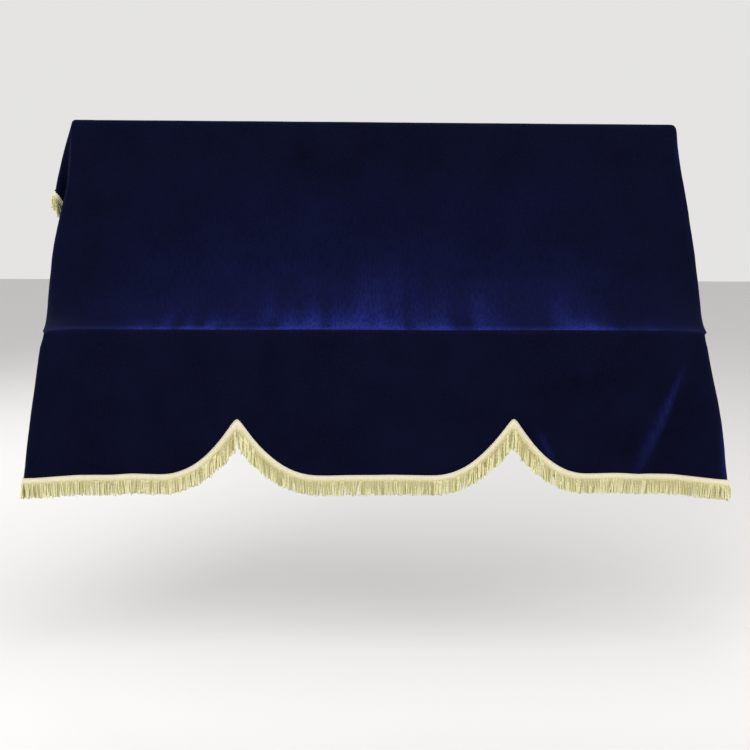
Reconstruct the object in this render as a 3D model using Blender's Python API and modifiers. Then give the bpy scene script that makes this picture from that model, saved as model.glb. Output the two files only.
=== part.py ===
"""Velvet piano cover, draped, with a scalloped front hem and a gold fringe on three edges.

Metres, +Z up, +X to the right seen from the front, -Y to the front. The origin is on the
underside of the top, at its middle. The cover is one sheet: a short drop at the back, the flat
top, a concave slope down to a ledge, and the front drop. Past the top's width the sheet hangs
down each side and turns back in long soft folds. A place on the sheet is given by its column,
counted across from the left edge, and its row, counted from the front hem to the back hem.
"""

import math
from collections import namedtuple

import bmesh
import bpy
from mathutils import Vector

# The sheet and its trim
CLOTH_THICKNESS = 0.002
SIDE_OVERHANG = 0.195
BACK_DROP = 0.150
BACK_CORNER_RADIUS = 0.100
HEADER_HEIGHT = 0.016
HEADER_THICKNESS = 0.0018
HEADER_GAP = 0.0008
STRAND_LENGTH = 0.035
FRONT_LOCK_PITCH = 0.018
SIDE_LOCK_PITCH = 0.034
FRONT_LOCK_SHARE = 0.70
SIDE_LOCK_SHARE = 0.50
LOCK_TIP_SHARE = 0.80

# The form that the sheet takes
TOP_HALF_WIDTH = 0.766
TOP_HALF_DEPTH = 0.180
TOP_EDGE_RADIUS = 0.012
LEDGE_FRONT_Y = -0.402
LEDGE_Z = -0.499
LEDGE_RADIUS = 0.010
HEM_Z = -0.874
SLOPE_STEEP_END = (-0.195, -0.400)
SLOPE_FLAT_START = (-0.225, -0.487)

# The scalloped front hem: two peaks, each between two curves of equal reach
PEAK_X = 0.336
PEAK_RISE = 0.138
PEAK_REACH = 0.195

# Steps of the sheet's grid
PANEL_STEPS = (3, 6, 6, 2)
EASE_LENGTH = 0.044
EASE_STEPS = 2
RUN_STEPS = 1
TURN_STEPS = 4
REST_STEPS = 2
BACK_DROP_STEPS = 3
BEND_STEPS = 3
TOP_STEPS = 4
SLOPE_STEPS = 9
DROP_STEPS = 6

HALF_THICKNESS = CLOTH_THICKNESS / 2
SHORTEST_RUN = 0.006
SHOULDER = TOP_HALF_WIDTH - TOP_EDGE_RADIUS - SHORTEST_RUN - EASE_LENGTH

# Side folds. Each row holds at a distance down the sheet from the front edge of the top,
# negative behind it. From the shoulder the sheet runs on for a way, swung to the front (minus)
# or the back and dipped below level, then turns round a radius to the direction that its free
# edge takes. Swings and dips are in degrees.
Fold = namedtuple("Fold", "down swing dip run radius edge_swing edge_dip")

RIGHT_FOLDS = (
    Fold(-0.494, 24, 6, 0.024, 0.020, 10, 70),
    Fold(-0.420, 12, 3, 0.013, 0.015, 6, 79),
    Fold(-0.340, 0, 0, 0.006, 0.012, 0, 88),
    Fold(-0.160, 0, 0, 0.006, 0.012, 60, 86),
    Fold(-0.060, 0, 0, 0.006, 0.012, 88, 76),
    Fold(0.000, 0, 0, 0.006, 0.012, 90, 64),
    Fold(0.085, -6, 4, 0.014, 0.016, 90, 54),
    Fold(0.151, -8, 7, 0.026, 0.021, 90, 46),
    Fold(0.217, -8, 8, 0.038, 0.025, 93, 38),
    Fold(0.320, -8, 8, 0.053, 0.028, 99, 29),
    Fold(0.450, -6, 6, 0.059, 0.026, 102, 24),
    Fold(0.590, -4, 4, 0.039, 0.020, 100, 25),
    Fold(0.680, -8, 4, 0.035, 0.024, 101, 24),
    Fold(0.820, -16, 4, 0.063, 0.028, 105, 18),
    Fold(0.995, -22, 3, 0.090, 0.030, 110, 10),
)

LEFT_FOLDS = (
    Fold(-0.494, 25, 6, 0.024, 0.020, 10, 68),
    Fold(-0.420, 12, 3, 0.012, 0.015, 6, 78),
    Fold(-0.340, 0, 0, 0.006, 0.012, 0, 82),
    Fold(-0.160, 0, 0, 0.006, 0.012, 10, 76),
    Fold(-0.060, 0, 0, 0.006, 0.012, 28, 69),
    Fold(0.000, 0, 0, 0.006, 0.012, 42, 63),
    Fold(0.085, -5, 4, 0.010, 0.013, 64, 55),
    Fold(0.151, -4, 7, 0.018, 0.019, 80, 47),
    Fold(0.217, -8, 8, 0.033, 0.024, 90, 38),
    Fold(0.320, -8, 8, 0.050, 0.028, 98, 29),
    Fold(0.450, -6, 6, 0.053, 0.026, 102, 24),
    Fold(0.590, -4, 4, 0.030, 0.020, 100, 25),
    Fold(0.680, -8, 4, 0.031, 0.024, 101, 24),
    Fold(0.820, -16, 4, 0.056, 0.028, 105, 18),
    Fold(0.995, -22, 3, 0.082, 0.030, 110, 10),
)

# Soft ridges on the front, each a line from one place to another, with x across and the
# distance down the sheet, its half width and its height.
Ripple = namedtuple("Ripple", "x_start down_start x_end down_end half_width height")

FRONT_RIPPLES = (
    Ripple(0.760, 0.640, 0.640, 0.960, 0.045, 0.009),
    Ripple(0.395, 0.860, 0.440, 1.000, 0.030, 0.005),
    Ripple(-0.700, 0.700, -0.640, 1.000, 0.050, 0.006),
    Ripple(-0.160, 0.740, -0.120, 1.010, 0.050, 0.004),
    Ripple(0.150, 0.720, 0.130, 1.010, 0.060, 0.004),
    Ripple(-0.460, 0.760, -0.480, 1.010, 0.050, -0.004),
    Ripple(-0.735, 0.060, -0.640, 0.420, 0.060, 0.006),
    Ripple(0.735, 0.060, 0.650, 0.400, 0.060, 0.006),
)

Trace = namedtuple("Trace", "down y z")
BEND_POINTS = 12


def arc(centre, radius, first_angle, last_angle, steps):
    """Points (y, z) along an arc, its angles in degrees from +Y towards +Z."""
    points = []
    for step in range(steps + 1):
        angle = math.radians(first_angle + (last_angle - first_angle) * step / steps)
        points.append((centre[0] + radius * math.cos(angle), centre[1] + radius * math.sin(angle)))
    return points


def bezier(first, steep, flat, last, steps):
    """Points (y, z) along a cubic curve."""
    points = []
    for step in range(steps + 1):
        a = step / steps
        b = 1 - a
        weights = (b * b * b, 3 * b * b * a, 3 * b * a * a, a * a * a)
        places = (first, steep, flat, last)
        y = sum(weight * place[0] for weight, place in zip(weights, places))
        z = sum(weight * place[1] for weight, place in zip(weights, places))
        points.append((y, z))
    return points


def middle_section():
    """The sheet's middle line from the back hem to the front hem, as Trace rows."""
    bend_y = TOP_HALF_DEPTH - TOP_EDGE_RADIUS
    bend_z = HALF_THICKNESS - TOP_EDGE_RADIUS
    ledge_centre = (LEDGE_FRONT_Y + LEDGE_RADIUS, LEDGE_Z - LEDGE_RADIUS)
    points = [(TOP_HALF_DEPTH, -BACK_DROP)]
    points += arc((bend_y, bend_z), TOP_EDGE_RADIUS, 0, 90, BEND_POINTS)
    front_edge = len(points)
    points += arc((-bend_y, bend_z), TOP_EDGE_RADIUS, 90, 180, BEND_POINTS)
    points += bezier(points[-1], SLOPE_STEEP_END, SLOPE_FLAT_START, (ledge_centre[0], LEDGE_Z), 60)[1:]
    points += arc(ledge_centre, LEDGE_RADIUS, 90, 180, BEND_POINTS)[1:]
    points.append((LEDGE_FRONT_Y, HEM_Z))
    lengths = [0.0]
    for before, after in zip(points, points[1:]):
        lengths.append(lengths[-1] + math.dist(before, after))
    return [Trace(length - lengths[front_edge], y, z) for length, (y, z) in zip(lengths, points)]


SECTION = middle_section()
BACK_HEM_DOWN = SECTION[0].down
BACK_EDGE_DOWN = SECTION[1].down
TOP_BACK_DOWN = SECTION[1 + BEND_POINTS].down
SLOPE_DOWN = SECTION[2 + 2 * BEND_POINTS].down
LEDGE_DOWN = SECTION[-2 - BEND_POINTS].down
DROP_DOWN = SECTION[-2].down
HEM_DOWN = SECTION[-1].down


def section_place(down):
    """The middle section's point at a distance down the sheet, and the way it faces there."""
    last = len(SECTION) - 2
    step = next((k for k in range(last) if SECTION[k + 1].down >= down), last)
    before = SECTION[step]
    after = SECTION[step + 1]
    share = (down - before.down) / (after.down - before.down)
    along = Vector((0, after.y - before.y, after.z - before.z))
    place = Vector((0, before.y, before.z)) + along * share
    facing = Vector((0, along.z, -along.y)).normalized()
    return place, facing


def hem_rise(x):
    """How far the front hem rises above its lowest line, and its slope there."""
    distance = abs(abs(x) - PEAK_X)
    if distance >= PEAK_REACH:
        return 0.0, 0.0
    share = 1 - distance / PEAK_REACH
    return PEAK_RISE * share * share, 2 * PEAK_RISE * share / PEAK_REACH


def between(rows, down, column):
    """A column of a table of rows at a distance down, on a smooth curve through the rows."""
    if down <= rows[0].down:
        return getattr(rows[0], column)
    if down >= rows[-1].down:
        return getattr(rows[-1], column)
    step = next(k for k in range(len(rows) - 1) if rows[k + 1].down >= down)

    def slope(k):
        k = min(max(k, 1), len(rows) - 2)
        rise = getattr(rows[k + 1], column) - getattr(rows[k - 1], column)
        return rise / (rows[k + 1].down - rows[k - 1].down)

    before = rows[step]
    after = rows[step + 1]
    width = after.down - before.down
    a = (down - before.down) / width
    start = getattr(before, column)
    end = getattr(after, column)
    return ((2 * a ** 3 - 3 * a ** 2 + 1) * start + (a ** 3 - 2 * a ** 2 + a) * width * slope(step)
            + (3 * a ** 2 - 2 * a ** 3) * end + (a ** 3 - a ** 2) * width * slope(step + 1))


def direction(swing, dip):
    """A unit vector swung from +X towards +Y and dipped below level, in degrees."""
    swing = math.radians(swing)
    dip = math.radians(dip)
    return Vector((math.cos(dip) * math.cos(swing), math.cos(dip) * math.sin(swing), -math.sin(dip)))


def along_turn(first, last, length, share):
    """How far one gets on a share of an even turn from one direction to another."""
    angle = first.angle(last)
    if angle < 1e-4:
        return first * (length * share)
    scale = length / (angle * math.sin(angle))
    first_part = math.cos((1 - share) * angle) - math.cos(angle)
    last_part = 1 - math.cos(share * angle)
    return (first * first_part + last * last_part) * scale


def overhang(down):
    """The width of the sheet past the top's side, less at the rounded back corners."""
    left = BACK_CORNER_RADIUS - (down - BACK_HEM_DOWN)
    if left <= 0:
        return SIDE_OVERHANG
    return SIDE_OVERHANG - BACK_CORNER_RADIUS + math.sqrt(BACK_CORNER_RADIUS ** 2 - left ** 2)


def side_steps(rows, down):
    """Offsets from the shoulder of each column past it, for the right side at one row."""
    level = Vector((1, 0, 0))
    run_way = direction(between(rows, down, "swing"), between(rows, down, "dip"))
    edge_way = direction(between(rows, down, "edge_swing"), between(rows, down, "edge_dip"))
    run = max(between(rows, down, "run"), SHORTEST_RUN)
    turn = between(rows, down, "radius") * run_way.angle(edge_way)
    rest = overhang(down) + TOP_EDGE_RADIUS + SHORTEST_RUN - run - turn - HEADER_HEIGHT
    place = Vector((0, 0, 0))
    offsets = []
    for step in range(EASE_STEPS):
        offsets.append(place + along_turn(level, run_way, EASE_LENGTH, (step + 1) / EASE_STEPS))
    place = offsets[-1]
    for step in range(RUN_STEPS):
        offsets.append(place + run_way * (run * (step + 1) / RUN_STEPS))
    place = offsets[-1]
    for step in range(TURN_STEPS):
        offsets.append(place + along_turn(run_way, edge_way, turn, (step + 1) / TURN_STEPS))
    place = offsets[-1]
    for step in range(REST_STEPS):
        offsets.append(place + edge_way * (rest * (step + 1) / REST_STEPS))
    offsets.append(offsets[-1] + edge_way * HEADER_HEIGHT)
    return offsets


def ripple_height(x, down):
    """How far the front's soft ridges lift the sheet at a place."""
    height = 0.0
    for ripple in FRONT_RIPPLES:
        line_x = ripple.x_end - ripple.x_start
        line_down = ripple.down_end - ripple.down_start
        length = math.hypot(line_x, line_down)
        along = ((x - ripple.x_start) * line_x + (down - ripple.down_start) * line_down) / length
        across = ((x - ripple.x_start) * line_down - (down - ripple.down_start) * line_x) / length
        share = min(max(along / length, 0.0), 1.0)
        half_turns = 1.0 if ripple.down_end < LEDGE_DOWN else 0.5
        fade = math.sin(math.pi * half_turns * share)
        height += ripple.height * fade * math.exp(-2 * (across / ripple.half_width) ** 2)
    return height


def panel_columns():
    """The x places of the columns of the right half of the front, from the middle outwards."""
    marks = (0.0, PEAK_X - PEAK_REACH, PEAK_X, PEAK_X + PEAK_REACH, SHOULDER)
    columns = [0.0]
    for start, end, steps in zip(marks, marks[1:], PANEL_STEPS):
        columns += [start + (end - start) * (step + 1) / steps for step in range(steps)]
    return columns


PANEL_COLUMNS = panel_columns()
SIDE_COLUMNS = EASE_STEPS + RUN_STEPS + TURN_STEPS + REST_STEPS + 1
HALF_COLUMNS = len(PANEL_COLUMNS) - 1 + SIDE_COLUMNS


def spread(start, end, steps):
    """Even steps from start, left out, to end."""
    return [start + (end - start) * (step + 1) / steps for step in range(steps)]


def row_marks():
    """Distances down the sheet of the rows above the front drop, from the back hem on."""
    marks = [BACK_HEM_DOWN]
    marks += spread(BACK_HEM_DOWN, BACK_EDGE_DOWN, BACK_DROP_STEPS)
    marks += spread(BACK_EDGE_DOWN, TOP_BACK_DOWN, BEND_STEPS)
    marks += spread(TOP_BACK_DOWN, 0.0, TOP_STEPS)
    marks += spread(0.0, SLOPE_DOWN, BEND_STEPS)
    marks += spread(SLOPE_DOWN, LEDGE_DOWN, SLOPE_STEPS)
    marks += spread(LEDGE_DOWN, DROP_DOWN, BEND_STEPS)
    return marks


UPPER_ROWS = row_marks()
ROWS = len(UPPER_ROWS) - 1 + DROP_STEPS + 1


def down_at(row, x):
    """A row's distance down the sheet at one x; the drop's rows follow the scalloped hem."""
    if row < len(UPPER_ROWS):
        return UPPER_ROWS[row]
    rise, slope = hem_rise(x)
    hem = HEM_DOWN - rise
    header = hem - HEADER_HEIGHT * math.hypot(1, slope)
    step = row - len(UPPER_ROWS) + 1
    if step > DROP_STEPS:
        return hem
    return DROP_DOWN + (header - DROP_DOWN) * step / DROP_STEPS


def sheet_place(column, row):
    """Where the middle of the sheet's thickness lies, at a column from the left and a row."""
    sign = 1 if column >= HALF_COLUMNS else -1
    index = abs(column - HALF_COLUMNS)
    inside = min(index, len(PANEL_COLUMNS) - 1)
    x = PANEL_COLUMNS[inside]
    down = down_at(row, x)
    place, facing = section_place(down)
    offset = Vector((0, 0, 0))
    if index > inside:
        folds = RIGHT_FOLDS if sign > 0 else LEFT_FOLDS
        offset = side_steps(folds, down)[index - inside - 1]
    place = place + Vector((x, 0, 0)) + offset
    place.x *= sign
    fade = max(1 - max(abs(place.x) - SHOULDER, 0.0) / (2 * EASE_LENGTH), 0.0)
    return place + facing * ripple_height(place.x, down) * (fade if down > 0 else 0.0)


def material(name, colour, roughness):
    """A plain material of one colour."""
    made = bpy.data.materials.new(name)
    made.use_nodes = True
    shader = made.node_tree.nodes["Principled BSDF"]
    shader.inputs["Base Color"].default_value = (*colour, 1)
    shader.inputs["Roughness"].default_value = roughness
    shader.inputs["Metallic"].default_value = 0.0
    return made


def add_object(name, mesh_edit, collection, surface, thickness, offset):
    """Makes an object of a mesh under edit, and gives it a thickness."""
    mesh = bpy.data.meshes.new(name)
    mesh_edit.to_mesh(mesh)
    mesh_edit.free()
    mesh.shade_smooth()
    mesh.materials.append(surface)
    made = bpy.data.objects.new(name, mesh)
    collection.objects.link(made)
    wall = made.modifiers.new("Thickness", "SOLIDIFY")
    wall.thickness = thickness
    wall.offset = offset
    return made


def draped_sheet():
    """The sheet as a grid, laid out flat and then carried to where each of its points hangs."""
    columns = 2 * HALF_COLUMNS
    sheet = bmesh.new()
    bmesh.ops.create_grid(sheet, x_segments=columns, y_segments=ROWS, size=1.0)
    grid = {}
    for vert in sheet.verts:
        column = round((vert.co.x + 1) / 2 * columns)
        row = ROWS - round((vert.co.y + 1) / 2 * ROWS)
        grid[column, row] = vert
    for (column, row), vert in grid.items():
        vert.co = sheet_place(column, row)
    sheet.normal_update()
    return sheet, grid


def outer_place(grid, column, row):
    """The place just outside the sheet where a trim's inner face lies, at a grid point."""
    vert = grid[column, row]
    return vert.co + vert.normal * (HALF_THICKNESS + HEADER_GAP)


def trim_cells(edge, pitch, lock_share):
    """Where the locks start and end along an edge, as a column or row number and a share of it.

    The edge is cut at each of its own points too, so the trim follows every flat of the sheet.
    """
    cuts = [0.0]
    locks = []
    for step, (before, after) in enumerate(zip(edge, edge[1:])):
        count = round((after - before).length / pitch)
        for lock in range(count):
            margin = (1 - lock_share) / 2
            locks.append(len(cuts))
            cuts.append(step + (lock + margin) / count)
            cuts.append(step + (lock + 1 - margin) / count)
        cuts.append(step + 1.0)
    return cuts, locks


def at_cut(line, cut):
    """A point on a line of points, at a point number and a share of the way to the next."""
    step = min(int(cut), len(line) - 2)
    return line[step].lerp(line[step + 1], cut - step)


def fringe_comb(edge, top, falls, pitch, lock_share):
    """An open comb: a band between two lines, and locks that fall from its lower edge."""
    cuts, locks = trim_cells(edge, pitch, lock_share)
    comb = bmesh.new()
    bmesh.ops.create_grid(comb, x_segments=len(cuts) - 1, y_segments=1, size=1.0)
    low = {}
    for vert in comb.verts:
        index = round((vert.co.x + 1) / 2 * (len(cuts) - 1))
        if vert.co.y < 0:
            low[index] = vert
            vert.co = at_cut(edge, cuts[index])
        else:
            vert.co = at_cut(top, cuts[index])
    comb.edges.ensure_lookup_table()
    for index in locks:
        root = comb.edges.get((low[index], low[index + 1]))
        grown = bmesh.ops.extrude_edge_only(comb, edges=[root])["geom"]
        tips = [item for item in grown if isinstance(item, bmesh.types.BMVert)]
        middle = (tips[0].co + tips[1].co) / 2
        fall = at_cut(falls, (cuts[index] + cuts[index + 1]) / 2)
        for tip in tips:
            tip.co = middle + (tip.co - middle) * LOCK_TIP_SHARE + fall * STRAND_LENGTH
    comb.normal_update()
    return comb


def front_fringe(grid):
    """The comb along the scalloped front hem, its locks hanging plumb."""
    columns = range(2 * HALF_COLUMNS + 1)
    edge = [outer_place(grid, column, ROWS) for column in columns]
    top = [outer_place(grid, column, ROWS - 1) for column in columns]
    falls = [Vector((0, 0, -1)) for _ in columns]
    return fringe_comb(edge, top, falls, FRONT_LOCK_PITCH, FRONT_LOCK_SHARE)


def side_fringe(grid, side):
    """The comb along one side edge, from the back hem down to the front fringe's band."""
    outer = 2 * HALF_COLUMNS if side > 0 else 0
    inner = outer - side
    rows = range(ROWS)
    edge = [outer_place(grid, outer, row) for row in rows]
    top = [outer_place(grid, inner, row) for row in rows]
    clear = HEADER_GAP / (edge[-1] - edge[-2]).length
    edge[-1] = edge[-1].lerp(edge[-2], clear)
    top[-1] = top[-1].lerp(top[-2], clear)
    falls = []
    for low, high in zip(edge, top):
        out = (low - high).normalized()
        falls.append((out + Vector((0, 0, -1))).normalized())
    if side > 0:
        edge.reverse()
        top.reverse()
        falls.reverse()
    return fringe_comb(edge, top, falls, SIDE_LOCK_PITCH, SIDE_LOCK_SHARE)


def build():
    """Builds the cover from an empty scene."""
    for old in list(bpy.data.objects):
        bpy.data.objects.remove(old)
    collection = bpy.data.collections.new("piano_cover")
    bpy.context.scene.collection.children.link(collection)
    velvet = material("navy_velvet", (0.006, 0.009, 0.055), 0.85)
    gold = material("pale_gold_yarn", (0.80, 0.70, 0.36), 0.6)
    sheet, grid = draped_sheet()
    front = front_fringe(grid)
    left = side_fringe(grid, -1)
    right = side_fringe(grid, 1)
    add_object("cover_cloth", sheet, collection, velvet, CLOTH_THICKNESS, 0.0)
    add_object("fringe_front", front, collection, gold, HEADER_THICKNESS, 1.0)
    add_object("fringe_left", left, collection, gold, HEADER_THICKNESS, 1.0)
    add_object("fringe_right", right, collection, gold, HEADER_THICKNESS, 1.0)


build()
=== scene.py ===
"""Looks of a draped velvet cover with a scalloped front hem and gold bullion fringe.

Metres, +Z up, +X to the right seen from the front, -Y to the front. The origin is on the
underside of the flat top, at its middle. The sheet is described flat first: a place on it is
given by its distance across from the middle and its distance down from the front edge of the
top. The draped form carries each flat place to where it hangs, and the folds, the hem and the
fringe all follow from there.
"""

import logging
import math
import random
from collections.abc import Callable
from dataclasses import dataclass
from enum import Enum

import bpy
import numpy as np
from mathutils import Matrix, Vector, noise
from mathutils.bvhtree import BVHTree


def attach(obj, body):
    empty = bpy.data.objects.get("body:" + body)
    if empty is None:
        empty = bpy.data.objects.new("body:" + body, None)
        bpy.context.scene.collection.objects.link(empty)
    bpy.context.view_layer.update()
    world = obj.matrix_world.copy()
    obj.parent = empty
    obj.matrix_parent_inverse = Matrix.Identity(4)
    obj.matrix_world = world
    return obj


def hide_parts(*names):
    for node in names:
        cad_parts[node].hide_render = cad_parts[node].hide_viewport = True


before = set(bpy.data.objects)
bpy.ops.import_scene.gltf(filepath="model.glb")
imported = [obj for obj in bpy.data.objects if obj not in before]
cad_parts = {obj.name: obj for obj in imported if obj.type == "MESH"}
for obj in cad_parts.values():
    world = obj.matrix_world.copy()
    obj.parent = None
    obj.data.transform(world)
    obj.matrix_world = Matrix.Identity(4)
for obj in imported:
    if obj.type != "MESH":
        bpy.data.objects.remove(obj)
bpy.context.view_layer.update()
LOG = logging.getLogger("velvet_cover")

# How many half widths a ripple reaches from its line, and how fast it falls off on the way.
RIPPLE_REACH = 3.0
RIPPLE_FALL = 2.0
# The least turn, in radians, that is worked out as a turn.
LEAST_TURN = 1e-4
# How many metres of the flat sheet one unit of its map shows.
FLAT_MAP_SPAN = 2.0
# The colour sockets of a Mix node, by number, because its other sockets have the same names.
MIX_A = 6
MIX_B = 7
MIX_COLOUR = 2
WHITE = (1, 1, 1, 1)
# The length of a fringe's strand, which one unit of the yarns' strand map stands for.
STRAND_LENGTH = 0.0360


class Side(Enum):
    """A side of the cover, as the sign of X."""

    LEFT = -1
    RIGHT = 1


class Edge(Enum):
    """An edge of the sheet that carries fringe."""

    FRONT = "front"
    LEFT = "left"
    RIGHT = "right"


class Layer(Enum):
    """A layer of strands, as how far it stands off the sheet in strand radii."""

    BACK = 1.2
    FRONT = 2.7


class Fade(Enum):
    """How a fold dies out along its line."""

    BOTH_ENDS = 1.0
    START_ONLY = 0.5


@dataclass(frozen=True)
class Fold:
    """The way that the sheet hangs past the top's side, at one distance down the sheet.

    The sheet runs on for a way, swung to the front (minus) or the back and dipped below level,
    then turns round a radius to the direction of its free edge. Angles are in degrees.
    """

    down: float
    swing: float
    dip: float
    run: float
    radius: float
    edge_swing: float
    edge_dip: float


@dataclass(frozen=True)
class Ripple:
    """A soft ridge, or a trough if its height is below nought, along a line on the flat sheet."""

    across_start: float
    down_start: float
    across_end: float
    down_end: float
    half_width: float
    height: float
    fade: Fade = Fade.START_ONLY

    def lift(self, across: float, down: float) -> float:
        """How far the ripple lifts the sheet at a flat place.

        Args:
            across: Distance across from the middle, to the right.
            down: Distance down the sheet.

        Returns:
            The lift along the sheet's outward direction.
        """
        line_across = self.across_end - self.across_start
        line_down = self.down_end - self.down_start
        length = math.hypot(line_across, line_down)
        from_across = across - self.across_start
        from_down = down - self.down_start
        off = (from_across * line_down - from_down * line_across) / length
        if abs(off) > RIPPLE_REACH * self.half_width:
            return 0.0
        share = (from_across * line_across + from_down * line_down) / length ** 2
        share = min(max(share, 0.0), 1.0)
        fade = math.sin(math.pi * self.fade.value * share)
        return self.height * fade * math.exp(-RIPPLE_FALL * (off / self.half_width) ** 2)


RIGHT_FOLDS = (
    Fold(-0.494, 24, 6, 0.024, 0.020, 10, 70),
    Fold(-0.420, 12, 3, 0.013, 0.015, 6, 79),
    Fold(-0.340, 0, 0, 0.006, 0.012, 0, 88),
    Fold(-0.160, 0, 0, 0.006, 0.012, 60, 86),
    Fold(-0.060, 0, 0, 0.006, 0.012, 88, 76),
    Fold(0.000, 0, 0, 0.006, 0.012, 90, 64),
    Fold(0.085, -6, 4, 0.014, 0.016, 90, 54),
    Fold(0.151, -8, 7, 0.026, 0.021, 90, 46),
    Fold(0.217, -8, 8, 0.038, 0.025, 93, 38),
    Fold(0.320, -8, 8, 0.053, 0.028, 99, 29),
    Fold(0.450, -6, 6, 0.061, 0.026, 102, 24),
    Fold(0.590, -4, 4, 0.040, 0.020, 100, 25),
    Fold(0.622, -5, 4, 0.023, 0.021, 100, 24),
    Fold(0.655, -7, 4, 0.028, 0.023, 100, 24),
    Fold(0.700, -9, 4, 0.037, 0.024, 101, 23),
    Fold(0.820, -16, 4, 0.061, 0.028, 105, 18),
    Fold(0.995, -18, 2, 0.087, 0.030, 110, 10),
)

LEFT_FOLDS = (
    Fold(-0.494, 25, 6, 0.024, 0.020, 10, 68),
    Fold(-0.420, 12, 3, 0.012, 0.015, 6, 78),
    Fold(-0.340, 0, 0, 0.010, 0.008, 0, 82),
    Fold(-0.160, 0, 0, 0.011, 0.007, 10, 76),
    Fold(-0.060, 0, 0, 0.011, 0.007, 28, 69),
    Fold(0.000, 0, 0, 0.011, 0.007, 42, 63),
    Fold(0.085, -5, 4, 0.013, 0.010, 64, 55),
    Fold(0.151, -4, 7, 0.018, 0.019, 80, 47),
    Fold(0.217, -8, 8, 0.032, 0.024, 90, 38),
    Fold(0.320, -8, 8, 0.051, 0.028, 98, 29),
    Fold(0.450, -6, 6, 0.057, 0.026, 102, 24),
    Fold(0.590, -4, 4, 0.038, 0.020, 100, 25),
    Fold(0.622, -5, 4, 0.025, 0.021, 100, 24),
    Fold(0.655, -7, 4, 0.032, 0.023, 100, 24),
    Fold(0.700, -9, 4, 0.039, 0.024, 101, 23),
    Fold(0.820, -12, 3, 0.056, 0.028, 105, 18),
    Fold(0.995, -14, 0, 0.080, 0.030, 110, 10),
)

FRONT_RIPPLES = (
    Ripple(0.760, 0.640, 0.640, 0.960, 0.045, 0.006),
    Ripple(0.752, 0.695, 0.685, 0.872, 0.014, 0.0045, Fade.BOTH_ENDS),
    Ripple(0.728, 0.765, 0.630, 0.995, 0.020, 0.0055, Fade.BOTH_ENDS),
    Ripple(0.395, 0.860, 0.440, 1.000, 0.030, 0.005),
    Ripple(-0.700, 0.700, -0.640, 1.000, 0.050, 0.006),
    Ripple(-0.160, 0.740, -0.120, 1.010, 0.050, 0.004),
    Ripple(0.150, 0.720, 0.130, 1.010, 0.060, 0.004),
    Ripple(-0.460, 0.760, -0.480, 1.010, 0.050, -0.004),
    Ripple(-0.735, 0.060, -0.640, 0.420, 0.060, 0.006, Fade.BOTH_ENDS),
    Ripple(0.735, 0.060, 0.650, 0.400, 0.060, 0.006, Fade.BOTH_ENDS),
    Ripple(0.720, 0.650, 0.560, 0.930, 0.030, -0.003),
    Ripple(0.300, 0.640, 0.250, 0.990, 0.035, -0.002),
    Ripple(-0.300, 0.660, -0.280, 0.990, 0.040, 0.003),
    Ripple(-0.560, 0.640, -0.600, 0.980, 0.030, -0.003),
    Ripple(0.020, 0.660, 0.040, 1.010, 0.035, -0.002),
    Ripple(0.560, 0.690, 0.540, 1.000, 0.030, 0.003),
    Ripple(-0.600, 0.520, -0.200, 0.560, 0.030, 0.002, Fade.BOTH_ENDS),
    Ripple(0.150, 0.550, 0.560, 0.500, 0.028, 0.002, Fade.BOTH_ENDS),
)

BACK_RIPPLES = (
    Ripple(-0.660, -0.350, -0.690, -0.500, 0.050, 0.008),
    Ripple(-0.520, -0.360, -0.500, -0.500, 0.045, -0.005),
    Ripple(-0.360, -0.350, -0.370, -0.500, 0.060, 0.008),
    Ripple(-0.190, -0.360, -0.170, -0.500, 0.050, -0.005),
    Ripple(-0.020, -0.350, -0.040, -0.500, 0.055, 0.007),
    Ripple(0.150, -0.360, 0.170, -0.500, 0.050, -0.005),
    Ripple(0.330, -0.350, 0.310, -0.500, 0.050, 0.008),
    Ripple(0.480, -0.360, 0.500, -0.500, 0.045, -0.006),
    Ripple(0.640, -0.350, 0.670, -0.500, 0.050, 0.008),
)

RIGHT_RIPPLES = (
    Ripple(0.775, -0.300, 0.960, -0.310, 0.030, 0.007),
    Ripple(0.775, -0.240, 0.960, -0.235, 0.028, -0.006),
    Ripple(0.775, -0.170, 0.960, -0.165, 0.026, 0.007),
    Ripple(0.775, -0.110, 0.960, -0.100, 0.024, -0.006),
    Ripple(0.775, -0.040, 0.960, -0.045, 0.022, 0.009),
    Ripple(0.775, -0.010, 0.960, 0.010, 0.022, -0.007),
    Ripple(0.778, 0.010, 0.960, 0.065, 0.022, 0.009),
    Ripple(0.785, 0.050, 0.960, 0.125, 0.024, -0.008),
    Ripple(0.800, 0.110, 0.960, 0.190, 0.026, 0.008),
    Ripple(0.820, 0.200, 0.960, 0.280, 0.032, -0.006),
    Ripple(0.830, 0.310, 0.960, 0.370, 0.034, 0.006),
    Ripple(0.830, 0.700, 0.960, 0.680, 0.030, 0.006),
    Ripple(0.840, 0.780, 0.960, 0.800, 0.034, -0.005),
    Ripple(0.860, 0.880, 0.960, 0.900, 0.032, 0.005),
)

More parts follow.
